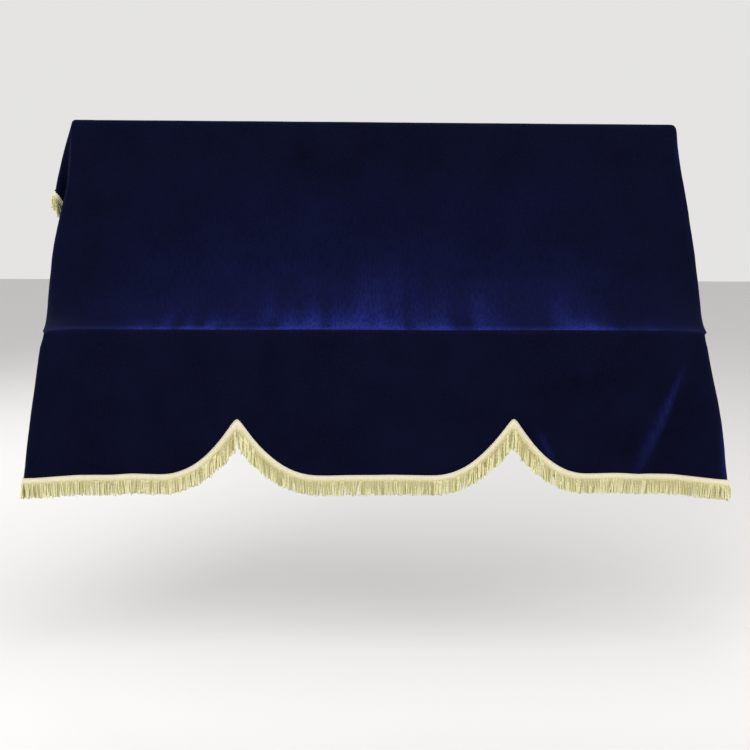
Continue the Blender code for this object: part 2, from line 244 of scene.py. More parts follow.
LEFT_RIPPLES = (
    Ripple(0.775, -0.330, 0.960, -0.345, 0.034, 0.006),
    Ripple(0.775, -0.260, 0.960, -0.250, 0.030, -0.006),
    Ripple(0.775, -0.190, 0.960, -0.200, 0.028, 0.007),
    Ripple(0.775, -0.130, 0.960, -0.125, 0.026, -0.006),
    Ripple(0.775, -0.060, 0.960, -0.075, 0.022, 0.006),
    Ripple(0.775, 0.000, 0.960, -0.010, 0.040, 0.010),
    Ripple(0.778, 0.030, 0.960, 0.055, 0.022, -0.006),
    Ripple(0.790, 0.070, 0.960, 0.110, 0.024, 0.008),
    Ripple(0.800, 0.130, 0.960, 0.180, 0.028, -0.007),
    Ripple(0.820, 0.220, 0.960, 0.270, 0.034, 0.006),
    Ripple(0.830, 0.340, 0.960, 0.380, 0.036, -0.005),
    Ripple(0.830, 0.720, 0.960, 0.700, 0.032, 0.005),
    Ripple(0.840, 0.810, 0.960, 0.830, 0.034, -0.005),
    Ripple(0.860, 0.900, 0.960, 0.920, 0.030, 0.005),
)


@dataclass(frozen=True)
class PaintedSheenStroke:
    """A patch above the ledge with painted sheen: royal blue put into the colour where the velvet's sheen
    shows.
    """

    across: float
    half_width: float
    top: float
    strength: float
    sharpness: float = 2.0
    streaked: bool = True

    def glow(self, across: float, down: float, crease: float) -> float:
        """How much painted sheen the patch gives at a flat place.

        Args:
            across: Distance across from the middle.
            down: Distance down the sheet.
            crease: Where the patch ends, at the ledge.

        Returns:
            The painted sheen, nought where there is none.
        """
        if not self.top < down < crease:
            return 0.0
        rise = ((down - self.top) / (crease - self.top)) ** self.sharpness
        return self.strength * rise * math.exp(-((across - self.across) / self.half_width) ** 4)


# Painted sheen: where royal blue is painted into the velvet's colour above the ledge, brightest at the
# crease.
PAINTED_SHEEN_STROKES = (
    PaintedSheenStroke(-0.02, 0.66, 0.10, 0.16, 1.0, False),
    PaintedSheenStroke(-0.46, 0.110, 0.46, 0.75, 2.0),
    PaintedSheenStroke(-0.17, 0.110, 0.32, 0.68, 2.6),
    PaintedSheenStroke(0.03, 0.075, 0.26, 0.95, 2.6),
    PaintedSheenStroke(0.21, 0.095, 0.32, 0.55, 2.8),
    PaintedSheenStroke(0.49, 0.090, 0.36, 0.42, 2.4),
    PaintedSheenStroke(0.00, 0.170, 0.50, 0.40, 2.0),
    PaintedSheenStroke(0.60, 0.080, 0.52, 0.30, 2.0),
    PaintedSheenStroke(-0.02, 0.715, 0.572, 0.42, 1.5, False),
)

# Painted highlights along the crests of folds, added to the painted sheen in the velvet's colour; their
# heights are highlight strengths, not lifts.
PAINTED_CREST_HIGHLIGHTS = (
    Ripple(0.746, 0.695, 0.682, 0.872, 0.008, 0.26, Fade.BOTH_ENDS),
    Ripple(0.724, 0.765, 0.630, 0.995, 0.017, 0.24, Fade.BOTH_ENDS),
    Ripple(0.842, 0.790, 0.868, 1.060, 0.014, 0.30, Fade.BOTH_ENDS),
    Ripple(0.772, -0.040, 0.772, 0.120, 0.010, 0.22, Fade.BOTH_ENDS),
    Ripple(0.392, 0.860, 0.440, 0.960, 0.010, 0.20, Fade.BOTH_ENDS),
)


def arc(centre: tuple, radius: float, first: float, last: float, steps: int) -> list:
    """Points (y, z) along an arc.

    Args:
        centre: The arc's centre (y, z).
        radius: Its radius.
        first: Its first angle, in degrees from +Y towards +Z.
        last: Its last angle.
        steps: How many steps it takes.

    Returns:
        The points, both ends included.
    """
    points = []
    for step in range(steps + 1):
        angle = math.radians(first + (last - first) * step / steps)
        points.append((centre[0] + radius * math.cos(angle), centre[1] + radius * math.sin(angle)))
    return points


def bezier(places: tuple, steps: int) -> list:
    """Points (y, z) along a cubic curve.

    Args:
        places: The curve's four control places.
        steps: How many steps it takes.

    Returns:
        The points after the first.
    """
    points = []
    for step in range(1, steps + 1):
        a = step / steps
        b = 1 - a
        weights = (b * b * b, 3 * b * b * a, 3 * b * a * a, a * a * a)
        points.append(tuple(sum(w * p[k] for w, p in zip(weights, places)) for k in (0, 1)))
    return points


def spread(start: float, end: float, steps: int) -> list:
    """Even steps from start, left out, to end."""
    return [start + (end - start) * (step + 1) / steps for step in range(steps)]


def direction(swing: float, dip: float) -> Vector:
    """A unit vector swung from +X towards +Y and dipped below level, both in degrees."""
    swing, dip = math.radians(swing), math.radians(dip)
    return Vector((math.cos(dip) * math.cos(swing), math.cos(dip) * math.sin(swing), -math.sin(dip)))


def along_turn(first: Vector, last: Vector, length: float, share: float) -> Vector:
    """How far one gets on a share of an even turn.

    Args:
        first: The direction at the turn's start.
        last: The direction at its end.
        length: The length of the whole turn.
        share: The share of it that is gone.

    Returns:
        The way from the turn's start.
    """
    angle = first.angle(last)
    if angle < LEAST_TURN:
        return first * (length * share)
    scale = length / (angle * math.sin(angle))
    first_part = math.cos((1 - share) * angle) - math.cos(angle)
    return (first * first_part + last * (1 - math.cos(share * angle))) * scale


def between(rows: tuple, down: float, column: str) -> float:
    """A column of a table of folds at a distance down, on a smooth curve through its rows.

    Args:
        rows: The table.
        down: The distance down the sheet.
        column: The column's name.

    Returns:
        The value there.
    """
    values = [getattr(row, column) for row in rows]
    places = [row.down for row in rows]
    down = min(max(down, places[0]), places[-1])
    step = next(k for k in range(len(rows) - 1) if places[k + 1] >= down)

    def slope(k: int) -> float:
        """The curve's slope at a row."""
        k = min(max(k, 1), len(rows) - 2)
        return (values[k + 1] - values[k - 1]) / (places[k + 1] - places[k - 1])

    width = places[step + 1] - places[step]
    a = (down - places[step]) / width
    return ((2 * a ** 3 - 3 * a ** 2 + 1) * values[step]
            + (a ** 3 - 2 * a ** 2 + a) * width * slope(step)
            + (3 * a ** 2 - 2 * a ** 3) * values[step + 1]
            + (a ** 3 - a ** 2) * width * slope(step + 1))


@dataclass
class DrapedForm:
    """The shape in which the one-piece sheet hangs, from flat places to places in space."""

    thickness: float = 0.002
    side_overhang: float = 0.195
    back_drop: float = 0.150
    back_corner_radius: float = 0.100
    header_height: float = 0.016
    top_half_width: float = 0.766
    top_half_depth: float = 0.180
    top_edge_radius: float = 0.012
    ledge_front_y: float = -0.402
    ledge_z: float = -0.499
    ledge_radius: float = 0.010
    hem_z: float = -0.874
    slope_steep_end: tuple = (-0.195, -0.400)
    slope_flat_start: tuple = (-0.225, -0.487)
    peak_x: float = 0.336
    peak_shift: float = -0.004
    peak_rise: float = 0.138
    peak_reach: float = 0.195
    peak_sharpness: float = 2.2
    peak_roundness: float = 0.0065
    # The slight arch of the hem at each side.
    arch_x: float = 0.600
    arch_rise: float = 0.0045
    arch_reach: float = 0.110
    # The length past the shoulder in which the sheet eases into its swing, and the least run after it.
    ease_length: float = 0.044
    shortest_run: float = 0.006
    # How far the front corner of the left flap has dropped, and over what length.
    corner_drop: float = 0.014
    corner_drop_reach: float = 0.085
    arc_steps: int = 12
    curve_steps: int = 60

    def __post_init__(self) -> None:
        """Works out the middle section and the marks along it."""
        bend_y = self.top_half_depth - self.top_edge_radius
        bend_z = self.thickness / 2 - self.top_edge_radius
        ledge = (self.ledge_front_y + self.ledge_radius, self.ledge_z - self.ledge_radius)
        points = [(self.top_half_depth, -self.back_drop)]
        points += arc((bend_y, bend_z), self.top_edge_radius, 0, 90, self.arc_steps)
        front_edge = len(points)
        points += arc((-bend_y, bend_z), self.top_edge_radius, 90, 180, self.arc_steps)
        slope = (points[-1], self.slope_steep_end, self.slope_flat_start, (ledge[0], self.ledge_z))
        points += bezier(slope, self.curve_steps)
        points += arc(ledge, self.ledge_radius, 90, 180, self.arc_steps)[1:]
        points.append((self.ledge_front_y, self.hem_z))
        lengths = [0.0]
        for before, after in zip(points, points[1:]):
            lengths.append(lengths[-1] + math.dist(before, after))
        self.section = [(length - lengths[front_edge], y, z) for length, (y, z) in zip(lengths, points)]
        self.back_hem = self.section[0][0]
        self.back_edge = self.section[1][0]
        self.top_back = self.section[1 + self.arc_steps][0]
        self.slope_start = self.section[2 + 2 * self.arc_steps][0]
        self.ledge_start = self.section[-2 - self.arc_steps][0]
        self.drop_start = self.section[-2][0]
        self.hem = self.section[-1][0]
        self.shoulder = self.top_half_width - self.top_edge_radius - self.shortest_run - self.ease_length

    def section_place(self, down: float) -> Vector:
        """Finds a place on the middle section.

        Args:
            down: The distance down the sheet.

        Returns:
            The place, at x nought.
        """
        last = len(self.section) - 2
        step = next((k for k in range(last) if self.section[k + 1][0] >= down), last)
        start, end = self.section[step], self.section[step + 1]
        share = (down - start[0]) / (end[0] - start[0])
        return Vector((0, start[1] + (end[1] - start[1]) * share, start[2] + (end[2] - start[2]) * share))

    def from_peak(self, x: float) -> float:
        """How far an x lies from the nearer peak of the front hem, either way."""
        return abs(x - self.peak_shift) - self.peak_x

    def hem_rise(self, x: float) -> tuple:
        """How far the front hem rises above its lowest line, with a slight arch to each side.

        Args:
            x: Where it is asked for.

        Returns:
            The rise, and the steepness of the hem.
        """
        power = self.peak_sharpness
        share = max(1 - math.hypot(self.from_peak(x), self.peak_roundness) / self.peak_reach, 0.0)
        steepness = power * self.peak_rise * share ** (power - 1) / self.peak_reach
        arch = self.arch_rise * math.exp(-((abs(x) - self.arch_x) / self.arch_reach) ** 2)
        return self.peak_rise * share ** power + arch, steepness

    def flap_width(self, side: Side, down: float) -> float:
        """The width of the sheet past the shoulder.

        It is less at the rounded back corners, and on the left the front corner of the flap has
        dropped a little on the bias.

        Args:
            side: The side of the cover.
            down: The distance down the sheet.

        Returns:
            The width from the shoulder to the edge.
        """
        whole = self.ease_length + self.shortest_run + self.top_edge_radius + self.side_overhang
        if side is Side.LEFT:
            whole += self.corner_drop * math.exp(-(down / self.corner_drop_reach) ** 2)
        left = self.back_corner_radius - (down - self.back_hem)
        if left <= 0:
            return whole
        return whole - self.back_corner_radius + math.sqrt(self.back_corner_radius ** 2 - left ** 2)

    def flap_places(self, side: Side, down: float, distances: list) -> list:
        """Offsets from the shoulder of places past it, at one distance down the sheet.

        Args:
            side: The side of the cover.
            down: The distance down the sheet.
            distances: How far each place lies past the shoulder.

        Returns:
            An offset for each place, for the right side.
        """
        rows = RIGHT_FOLDS if side is Side.RIGHT else LEFT_FOLDS
        level = Vector((1, 0, 0))
        run_way = direction(between(rows, down, "swing"), between(rows, down, "dip"))
        edge_way = direction(between(rows, down, "edge_swing"), between(rows, down, "edge_dip"))
        run = max(between(rows, down, "run"), self.shortest_run)
        turn = between(rows, down, "radius") * run_way.angle(edge_way)
        run_start = along_turn(level, run_way, self.ease_length, 1.0)
        turn_start = run_start + run_way * run
        rest_start = turn_start + along_turn(run_way, edge_way, turn, 1.0)
        places = []
        for distance in distances:
            if distance <= self.ease_length:
                share = distance / self.ease_length
                places.append(along_turn(level, run_way, self.ease_length, share))
                continue
            distance -= self.ease_length
            if distance <= run:
                places.append(run_start + run_way * distance)
                continue
            distance -= run
            if distance <= turn:
                places.append(turn_start + along_turn(run_way, edge_way, turn, distance / turn))
                continue
            places.append(rest_start + edge_way * (distance - turn))
        return places


@dataclass(frozen=True)
class PaintedSheenStreaks:
    """How unevenly the painted sheen lies: in streaks down the sheet, with a mottle over them."""

    streaks_across: float = 26.0
    streaks_down: float = 3.5
    streak_level: float = 1.7
    mottle_across: float = 9.0
    mottle_down: float = 12.0
    mottle_level: float = 4.1
    even_mean: float = 0.9
    even_mottle: float = 0.25
    streaked_mean: float = 0.82
    streaked_mottle: float = 0.6
    streak_strength: float = 1.6
    least: float = 0.05

    def shares(self, across: float, down: float) -> tuple:
        """How strong the painted sheen is at a flat place.

        Args:
            across: Distance across from the middle.
            down: Distance down the sheet.

        Returns:
            The share for an even stroke, and the one for a streaked stroke.
        """
        streak_spot = (across * self.streaks_across, down * self.streaks_down, self.streak_level)
        mottle_spot = (across * self.mottle_across, down * self.mottle_down, self.mottle_level)
        streak = noise.noise(Vector(streak_spot))
        mottle = noise.noise(Vector(mottle_spot))
        streaked = self.streaked_mean + self.streak_strength * streak + self.streaked_mottle * mottle
        return self.even_mean + self.even_mottle * mottle, max(streaked, self.least)


@dataclass
class SheetGrid:
    """A fine grid of places on the draped sheet, with its flat places and outward directions."""

    form: DrapedForm
    sheen_streaks: PaintedSheenStreaks = PaintedSheenStreaks()
    # Columns from the middle to the foot of a peak, up it, down it, and on to the shoulder.
    panel_steps: tuple = (13, 24, 24, 18)
    # How closely the columns crowd at the peak, and how late their shift with it dies out sideways.
    peak_crowding: float = 1.5
    shift_power: int = 4
    flap_steps: int = 46
    header_steps: int = 3
    back_steps: int = 12
    bend_steps: int = 5
    top_steps: int = 14
    slope_steps: int = 56
    drop_steps: int = 32
    # How many ease lengths past the shoulder the folds of the front fade out.
    front_fold_reach: float = 2.0
    crumple_height: float = 0.0011
    crumple_scale: float = 5.5
    pucker_height: float = 0.0004
    pucker_scale: float = 26.0
    crumple_level: float = 0.37
    top_looseness: float = 0.35
    # How far round the ledge's edge the painted sheen ends, as a share.
    crease_share: float = 0.3

    def __post_init__(self) -> None:
        """Lays the grid out flat, hangs it, and raises its folds."""
        self.inner = self._panel_columns()
        self.upper = self._row_marks()
        self.half = len(self.inner) - 1 + self.flap_steps + self.header_steps
        self.columns = 2 * self.half + 1
        self.rows = len(self.upper) + self.drop_steps + self.header_steps
        self.flat = np.zeros((self.rows, self.columns, 2))
        self.places = np.zeros((self.rows, self.columns, 3))
        for row in range(self.rows):
            self._hang_panel(row)
            self._hang_flaps(row)
        self.outward = self._outward()
        self.places += self.outward * self._measured(self._lift)[:, :, None]
        self.outward = self._outward()
        # A mask of painted sheen and painted highlights for the velvet's colour.
        self.painted_sheen = np.clip(self._measured(self._painted_light), 0, 1)

    def _panel_columns(self) -> list:
        """Works out the columns from the middle to the shoulder, crowded at the peak.

        Returns:
            Their distances across.
        """
        form = self.form
        marks = (0.0, form.peak_x - form.peak_reach, form.peak_x, form.peak_x + form.peak_reach)
        ends = marks[1:] + (form.shoulder,)
        columns = [0.0]
        for start, end, steps in zip(marks, ends, self.panel_steps):
            shares = spread(0.0, 1.0, steps)
            if end == form.peak_x:
                shares = [1 - (1 - share) ** self.peak_crowding for share in shares]
            if start == form.peak_x:
                shares = [share ** self.peak_crowding for share in shares]
            columns += [start + (end - start) * share for share in shares]
        return columns

    def _row_marks(self) -> list:
        """Works out the rows above the front drop, from the back hem on.

        Returns:
            Their distances down.
        """
        form = self.form
        bend = self.bend_steps
        marks = (form.back_hem, form.back_edge, form.top_back, 0.0, form.slope_start, form.ledge_start,
                 form.drop_start)
        rows = [form.back_hem]
        counts = (self.back_steps, bend, self.top_steps, bend, self.slope_steps, bend)
        for start, end, count in zip(marks, marks[1:], counts):
            rows += spread(start, end, count)
        return rows

    def _down_at(self, row: int, x: float) -> float:
        """A row's distance down at one x. The rows of the drop follow the scalloped hem.

        Args:
            row: The row's number.
            x: Where it is asked for.

        Returns:
            The distance down the sheet.
        """
        if row < len(self.upper):
            return self.upper[row]
        rise, slope = self.form.hem_rise(x)
        hem = self.form.hem - rise
        header = hem - self.form.header_height * math.hypot(1, slope)
        step = row - len(self.upper) + 1
        if step <= self.drop_steps:
            return self.form.drop_start + (header - self.form.drop_start) * step / self.drop_steps
        return header + (hem - header) * (step - self.drop_steps) / self.header_steps

    def _hang_panel(self, row: int) -> None:
        """Carries one row's places between the shoulders to where they hang.

        Args:
            row: The row's number.
        """
        form = self.form
        for index, x in enumerate(self.inner):
            shift = form.peak_shift * (1 - (x / form.shoulder) ** self.shift_power)
            for side in Side:
                across = side.value * x + shift
                down = self._down_at(row, across)
                place = form.section_place(down)
                column = self.half + side.value * index
                self.flat[row, column] = (across, down)
                self.places[row, column] = (across, place.y, place.z)

    def _hang_flaps(self, row: int) -> None:
        """Carries one row's places past the shoulders to where they hang.

        Args:
            row: The row's number.
        """
        form = self.form
        down = self._down_at(row, form.shoulder)
        base = form.section_place(down) + Vector((form.shoulder, 0, 0))
        for side in Side:
            width = form.flap_width(side, down)
            distances = spread(0.0, width - form.header_height, self.flap_steps)
            distances += spread(width - form.header_height, width, self.header_steps)
            offsets = form.flap_places(side, down, distances)
            for step, (distance, offset) in enumerate(zip(distances, offsets)):
                column = self.half + side.value * (len(self.inner) + step)
                place = base + offset
                self.flat[row, column] = (side.value * (form.shoulder + distance), down)
                self.places[row, column] = (side.value * place.x, place.y, place.z)

    def _outward(self) -> np.ndarray:
        """Works out which way the sheet faces.

        Returns:
            The outward unit direction at each grid place.
        """
        across = np.gradient(self.places, axis=1)
        along = np.gradient(self.places, axis=0)
        facing = np.cross(across, -along)
        return facing / np.linalg.norm(facing, axis=2, keepdims=True)

    def _measured(self, measure: Callable[[float, float], float]) -> np.ndarray:
        """A measure of the sheet at each grid place, from its distances across and down."""
        return np.array([[measure(across, down) for across, down in row] for row in self.flat])

    def _lift(self, across: float, down: float) -> float:
        """How far the folds and the fine crumple lift the sheet.

        The front folds fade out past the shoulder, and the flat top is the least crumpled.

        Args:
            across: Distance across from the middle.
            down: Distance down the sheet.

        Returns:
            The lift along the sheet's outward direction.
        """
        form = self.form
        past = max(abs(across) - form.shoulder, 0.0)
        front_share = max(1 - past / (self.front_fold_reach * form.ease_length), 0.0)
        lift = 0.0
        if down > 0:
            lift += front_share * sum(ripple.lift(across, down) for ripple in FRONT_RIPPLES)
        if down < form.top_back:
            lift += sum(ripple.lift(across, down) for ripple in BACK_RIPPLES)
        if past > form.ease_length:
            ripples = RIGHT_RIPPLES if across > 0 else LEFT_RIPPLES
            lift += sum(ripple.lift(abs(across), down) for ripple in ripples)
        on_top = form.top_back < down < form.slope_start and abs(across) < form.shoulder
        looseness = self.top_looseness if on_top else 1.0
        spot = Vector((across, down, self.crumple_level))
        lift += self.crumple_height * looseness * noise.noise(spot * self.crumple_scale)
        return lift + self.pucker_height * looseness * noise.noise(spot * self.pucker_scale)

    def _painted_light(self, across: float, down: float) -> float:
        """How much painted sheen there is from the strokes, and painted highlight along the bright crests.

        Args:
            across: Distance across from the middle.
            down: Distance down the sheet.

        Returns:
            The painted sheen and highlight, from nought where there is none.
        """
        start, end = self.form.ledge_start, self.form.drop_start
        crease = start + self.crease_share * (end - start)
        even, streaked = self.sheen_streaks.shares(across, down)
        glow = sum(crest.lift(across, down) for crest in PAINTED_CREST_HIGHLIGHTS)
        for stroke in PAINTED_SHEEN_STROKES:
            glow += (streaked if stroke.streaked else even) * stroke.glow(across, down, crease)
        return glow


def set_values(node: bpy.types.Node, values: dict) -> None:
    """Gives a node's inputs their first values, by name or number."""
    for socket, value in values.items():
        node.inputs[socket].default_value = value


def add_node(tree: bpy.types.NodeTree, kind: str, values: dict | None = None,
             **settings: object) -> bpy.types.Node:
    """Adds a shader node.

    Args:
        tree: The node tree that it goes into.
        kind: Its type, less the word ShaderNode.
        values: First values for its inputs, by name or number.
        **settings: Its other settings.

    Returns:
        The node.
    """
    node = tree.nodes.new(f"ShaderNode{kind}")
    for name, setting in settings.items():
        setattr(node, name, setting)
    set_values(node, values or {})
    return node


def add_links(tree: bpy.types.NodeTree, *links: tuple) -> None:
    """Links nodes.

    Args:
        tree: Their node tree.
        *links: Each link as a node, its output, the node that it feeds, and the input there.
    """
    for source, output, target, socket in links:
        tree.links.new(source.outputs[output], target.inputs[socket])


def new_material(name: str, values: dict) -> tuple:
    """A material with its Principled shader.

    Args:
        name: The material's name.
        values: First values for the shader's inputs.

    Returns:
        The material, its node tree and its shader.
    """
    made = bpy.data.materials.new(name)
    made.use_nodes = True
    shader = made.node_tree.nodes["Principled BSDF"]
    set_values(shader, values)
    return made, made.node_tree, shader


def add_bump(tree: bpy.types.NodeTree, height: tuple, shader: bpy.types.Node, strength: float,
             distance: float) -> None:
    """Raises a material's surface.

    Args:
        tree: The material's node tree.
        height: The node that gives the height, and its output.
        shader: The material's shader.
        strength: How strong the relief is.
        distance: How deep it is.
    """
    bump = add_node(tree, "Bump", {"Strength": strength, "Distance": distance})
    add_links(tree, (*height, bump, "Height"), (bump, "Normal", shader, "Normal"))


def new_group(name: str, inputs: tuple, outputs: tuple) -> tuple:
    """An empty shader node group.

    Args:
        name: The group's name.
        inputs: Its inputs, each a name, a socket type and a first value or None.
        outputs: Its outputs, each a name and a socket type.

    Returns:
        The group, and its input and output nodes.
    """
    group = bpy.data.node_groups.new(name, "ShaderNodeTree")
    for label, kind, value in inputs:
        socket = group.interface.new_socket(label, in_out="INPUT", socket_type=kind)
        if value is not None:
            socket.default_value = value
    for label, kind in outputs:
        group.interface.new_socket(label, in_out="OUTPUT", socket_type=kind)
    return group, group.nodes.new("NodeGroupInput"), group.nodes.new("NodeGroupOutput")


def fibre_tone_group() -> bpy.types.NodeTree:
    """The shared group that varies a cloth's colour in soft patches and fine fibres.

    Returns:
        The group, made at its first use.
    """
    name = "fibre_tone"
    if name in bpy.data.node_groups:
        return bpy.data.node_groups[name]
    colour, number = "NodeSocketColor", "NodeSocketFloat"
    inputs = (("Vector", "NodeSocketVector", None), ("Dark", colour, None), ("Light", colour, None),
              ("Patch Scale", number, 5.0), ("Fibre Scale", number, 900.0),
              ("Fibre Share", number, 0.3))
    outputs = (("Colour", colour), ("Roughness", number), ("Height", number))
    group, start, end = new_group(name, inputs, outputs)
    patch = add_node(group, "TexNoise", {"Detail": 4.0})
    fibre = add_node(group, "TexNoise", {"Detail": 2.0})
    blend = add_node(group, "Mix")
    contrast = add_node(group, "MapRange", {"From Min": 0.32, "From Max": 0.68})
    tone = add_node(group, "Mix", data_type="RGBA")
    rough = add_node(group, "MapRange", {"To Min": 0.72, "To Max": 0.90})
    add_links(group,
              (start, "Vector", patch, "Vector"),
              (start, "Vector", fibre, "Vector"),
              (start, "Patch Scale", patch, "Scale"),
              (start, "Fibre Scale", fibre, "Scale"),
              (start, "Fibre Share", blend, "Factor"),
              (patch, "Fac", blend, "A"),
              (fibre, "Fac", blend, "B"),
              (blend, "Result", contrast, "Value"),
              (contrast, "Result", tone, "Factor"),
              (start, "Dark", tone, MIX_A),
              (start, "Light", tone, MIX_B),
              (patch, "Fac", rough, "Value"),
              (tone, MIX_COLOUR, end, "Colour"),
              (rough, "Result", end, "Roughness"),
              (fibre, "Fac", end, "Height"))
    return group


def yarn_ply_group() -> bpy.types.NodeTree:
    """The shared group that paints the slanted ridges of plied yarn round a strand, light on the ridges and
    shade in the grooves.

    Returns:
        The group, made at its first use.
    """
    name = "yarn_ply"
    if name in bpy.data.node_groups:
        return bpy.data.node_groups[name]
    number = "NodeSocketFloat"
    inputs = (("Vector", "NodeSocketVector", None), ("Starts", number, 2.0), ("Turns", number, 12.0))
    outputs = (("Shade", "NodeSocketColor"), ("Height", number))
    group, start, end = new_group(name, inputs, outputs)
    split = add_node(group, "SeparateXYZ")
    around = add_node(group, "Math", operation="MULTIPLY")
    along = add_node(group, "Math", operation="MULTIPLY")
    phase = add_node(group, "Math", operation="ADD")
    angle = add_node(group, "Math", {1: 2 * math.pi}, operation="MULTIPLY")
    wave = add_node(group, "Math", operation="SINE")
    ridge = add_node(group, "Math", {1: 0.5, 2: 0.5}, operation="MULTIPLY_ADD")
    shade = add_node(group, "Mix", {MIX_A: (0.50, 0.44, 0.26, 1), MIX_B: WHITE}, data_type="RGBA")
    add_links(group,
              (start, "Vector", split, "Vector"),
              (split, "X", around, 0),
              (start, "Starts", around, 1),
              (split, "Y", along, 0),
              (start, "Turns", along, 1),
              (around, "Value", phase, 0),
              (along, "Value", phase, 1),
              (phase, "Value", angle, 0),
              (angle, "Value", wave, 0),
              (wave, "Value", ridge, 0),
              (ridge, "Value", shade, "Factor"),
              (shade, MIX_COLOUR, end, "Shade"),
              (ridge, "Value", end, "Height"))
    return group


@dataclass(frozen=True)
class FibreTone:
    """A cloth's two tones, and how large its patches and its fibres are."""

    dark: tuple
    light: tuple
    patch_scale: float
    fibre_scale: float
    fibre_share: float

    def place(self, tree: bpy.types.NodeTree) -> bpy.types.Node:
        """Places the shared fibre tone in a material, on Object coordinates.

        Args:
            tree: The material's node tree.

        Returns:
            The group's node.
        """
        spot = add_node(tree, "TexCoord")
        values = {"Dark": self.dark, "Light": self.light, "Patch Scale": self.patch_scale,
                  "Fibre Scale": self.fibre_scale, "Fibre Share": self.fibre_share}
        tone = add_node(tree, "Group", values, node_tree=fibre_tone_group())
        add_links(tree, (spot, "Object", tone, "Vector"))
        return tone


@dataclass(frozen=True)
class VelvetFinish:
    """Dark navy velvet: a deep pile, royal blue where it is seen edge-on by its sheen, and royal blue
    painted sheen in its colour above the ledge.
    """

    tone: FibreTone = FibreTone(dark=(0.0014, 0.0017, 0.0066, 1), light=(0.0038, 0.0047, 0.0225, 1),
                                patch_scale=9.0, fibre_scale=420.0, fibre_share=0.62)
    # The royal blue of the painted sheen above the ledge.
    painted_sheen_colour: tuple = (0.015, 0.022, 0.172, 1)
    bloom: tuple = (0.05, 0.08, 0.62, 1)
    streak_scale: tuple = (420.0, 90.0, 1.0)
    streak_noise: tuple = (0.30, 0.70)
    streak_glow: tuple = (0.45, 1.35)
    relief: float = 0.55
    relief_depth: float = 0.0010

    def material(self) -> bpy.types.Material:
        """Makes the velvet's outer face.

        Returns:
            The material.
        """
        made, tree, shader = new_material("navy_velvet", {
            "Sheen Weight": 0.42, "Sheen Roughness": 0.14, "Sheen Tint": self.bloom,
            "Specular IOR Level": 0.02})
        tone = self.tone.place(tree)
        # Painted sheen: the mask and its streaks mix royal blue into the base colour.
        flat = add_node(tree, "UVMap", uv_map="flat")
        painted_sheen = add_node(tree, "Attribute", attribute_name="painted_sheen")
        brush = add_node(tree, "Mapping", {"Scale": self.streak_scale})
        streaks = add_node(tree, "TexNoise", {"Scale": 1.0, "Detail": 3.0})
        streaked = add_node(tree, "MapRange", {
            "From Min": self.streak_noise[0], "From Max": self.streak_noise[1],
            "To Min": self.streak_glow[0], "To Max": self.streak_glow[1]})
        glow = add_node(tree, "Math", operation="MULTIPLY", use_clamp=True)
        pile = add_node(tree, "Mix", {MIX_B: self.painted_sheen_colour}, data_type="RGBA")
        add_links(tree,
                  (flat, "UV", brush, "Vector"),
                  (brush, "Vector", streaks, "Vector"),
                  (streaks, "Fac", streaked, "Value"),
                  (painted_sheen, "Fac", glow, 0),
                  (streaked, "Result", glow, 1),
                  (glow, "Value", pile, "Factor"),
                  (tone, "Colour", pile, MIX_A),
                  (pile, MIX_COLOUR, shader, "Base Color"),
                  (tone, "Roughness", shader, "Roughness"))
        add_bump(tree, (tone, "Height"), shader, self.relief, self.relief_depth)
        return made


@dataclass(frozen=True)
class BackingFinish:
    """The flat woven back of the velvet, duller and greyer than the pile."""

    tone: FibreTone = FibreTone(dark=(0.010, 0.012, 0.030, 1), light=(0.022, 0.026, 0.060, 1),
                                patch_scale=9.0, fibre_scale=500.0, fibre_share=0.45)
    thread_scale: float = 700.0
    thread_waviness: float = 0.6
    relief: float = 0.4
    relief_depth: float = 0.0004

    def material(self) -> bpy.types.Material:
        """Makes the velvet's inner face, a plain weave.

        Returns:
            The material.
        """
        made, tree, shader = new_material("velvet_backing", {"Roughness": 0.92, "Specular IOR Level": 0.15})
        tone = self.tone.place(tree)
        flat = add_node(tree, "UVMap", uv_map="flat")
        weave = add_node(tree, "Math", operation="MAXIMUM")
        for number, axis in enumerate("XY"):
            values = {"Scale": self.thread_scale, "Distortion": self.thread_waviness}
            threads = add_node(tree, "TexWave", values, bands_direction=axis)
            add_links(tree, (flat, "UV", threads, "Vector"), (threads, "Fac", weave, number))
        add_links(tree, (tone, "Colour", shader, "Base Color"))
        add_bump(tree, (weave, "Value"), shader, self.relief, self.relief_depth)
        return made


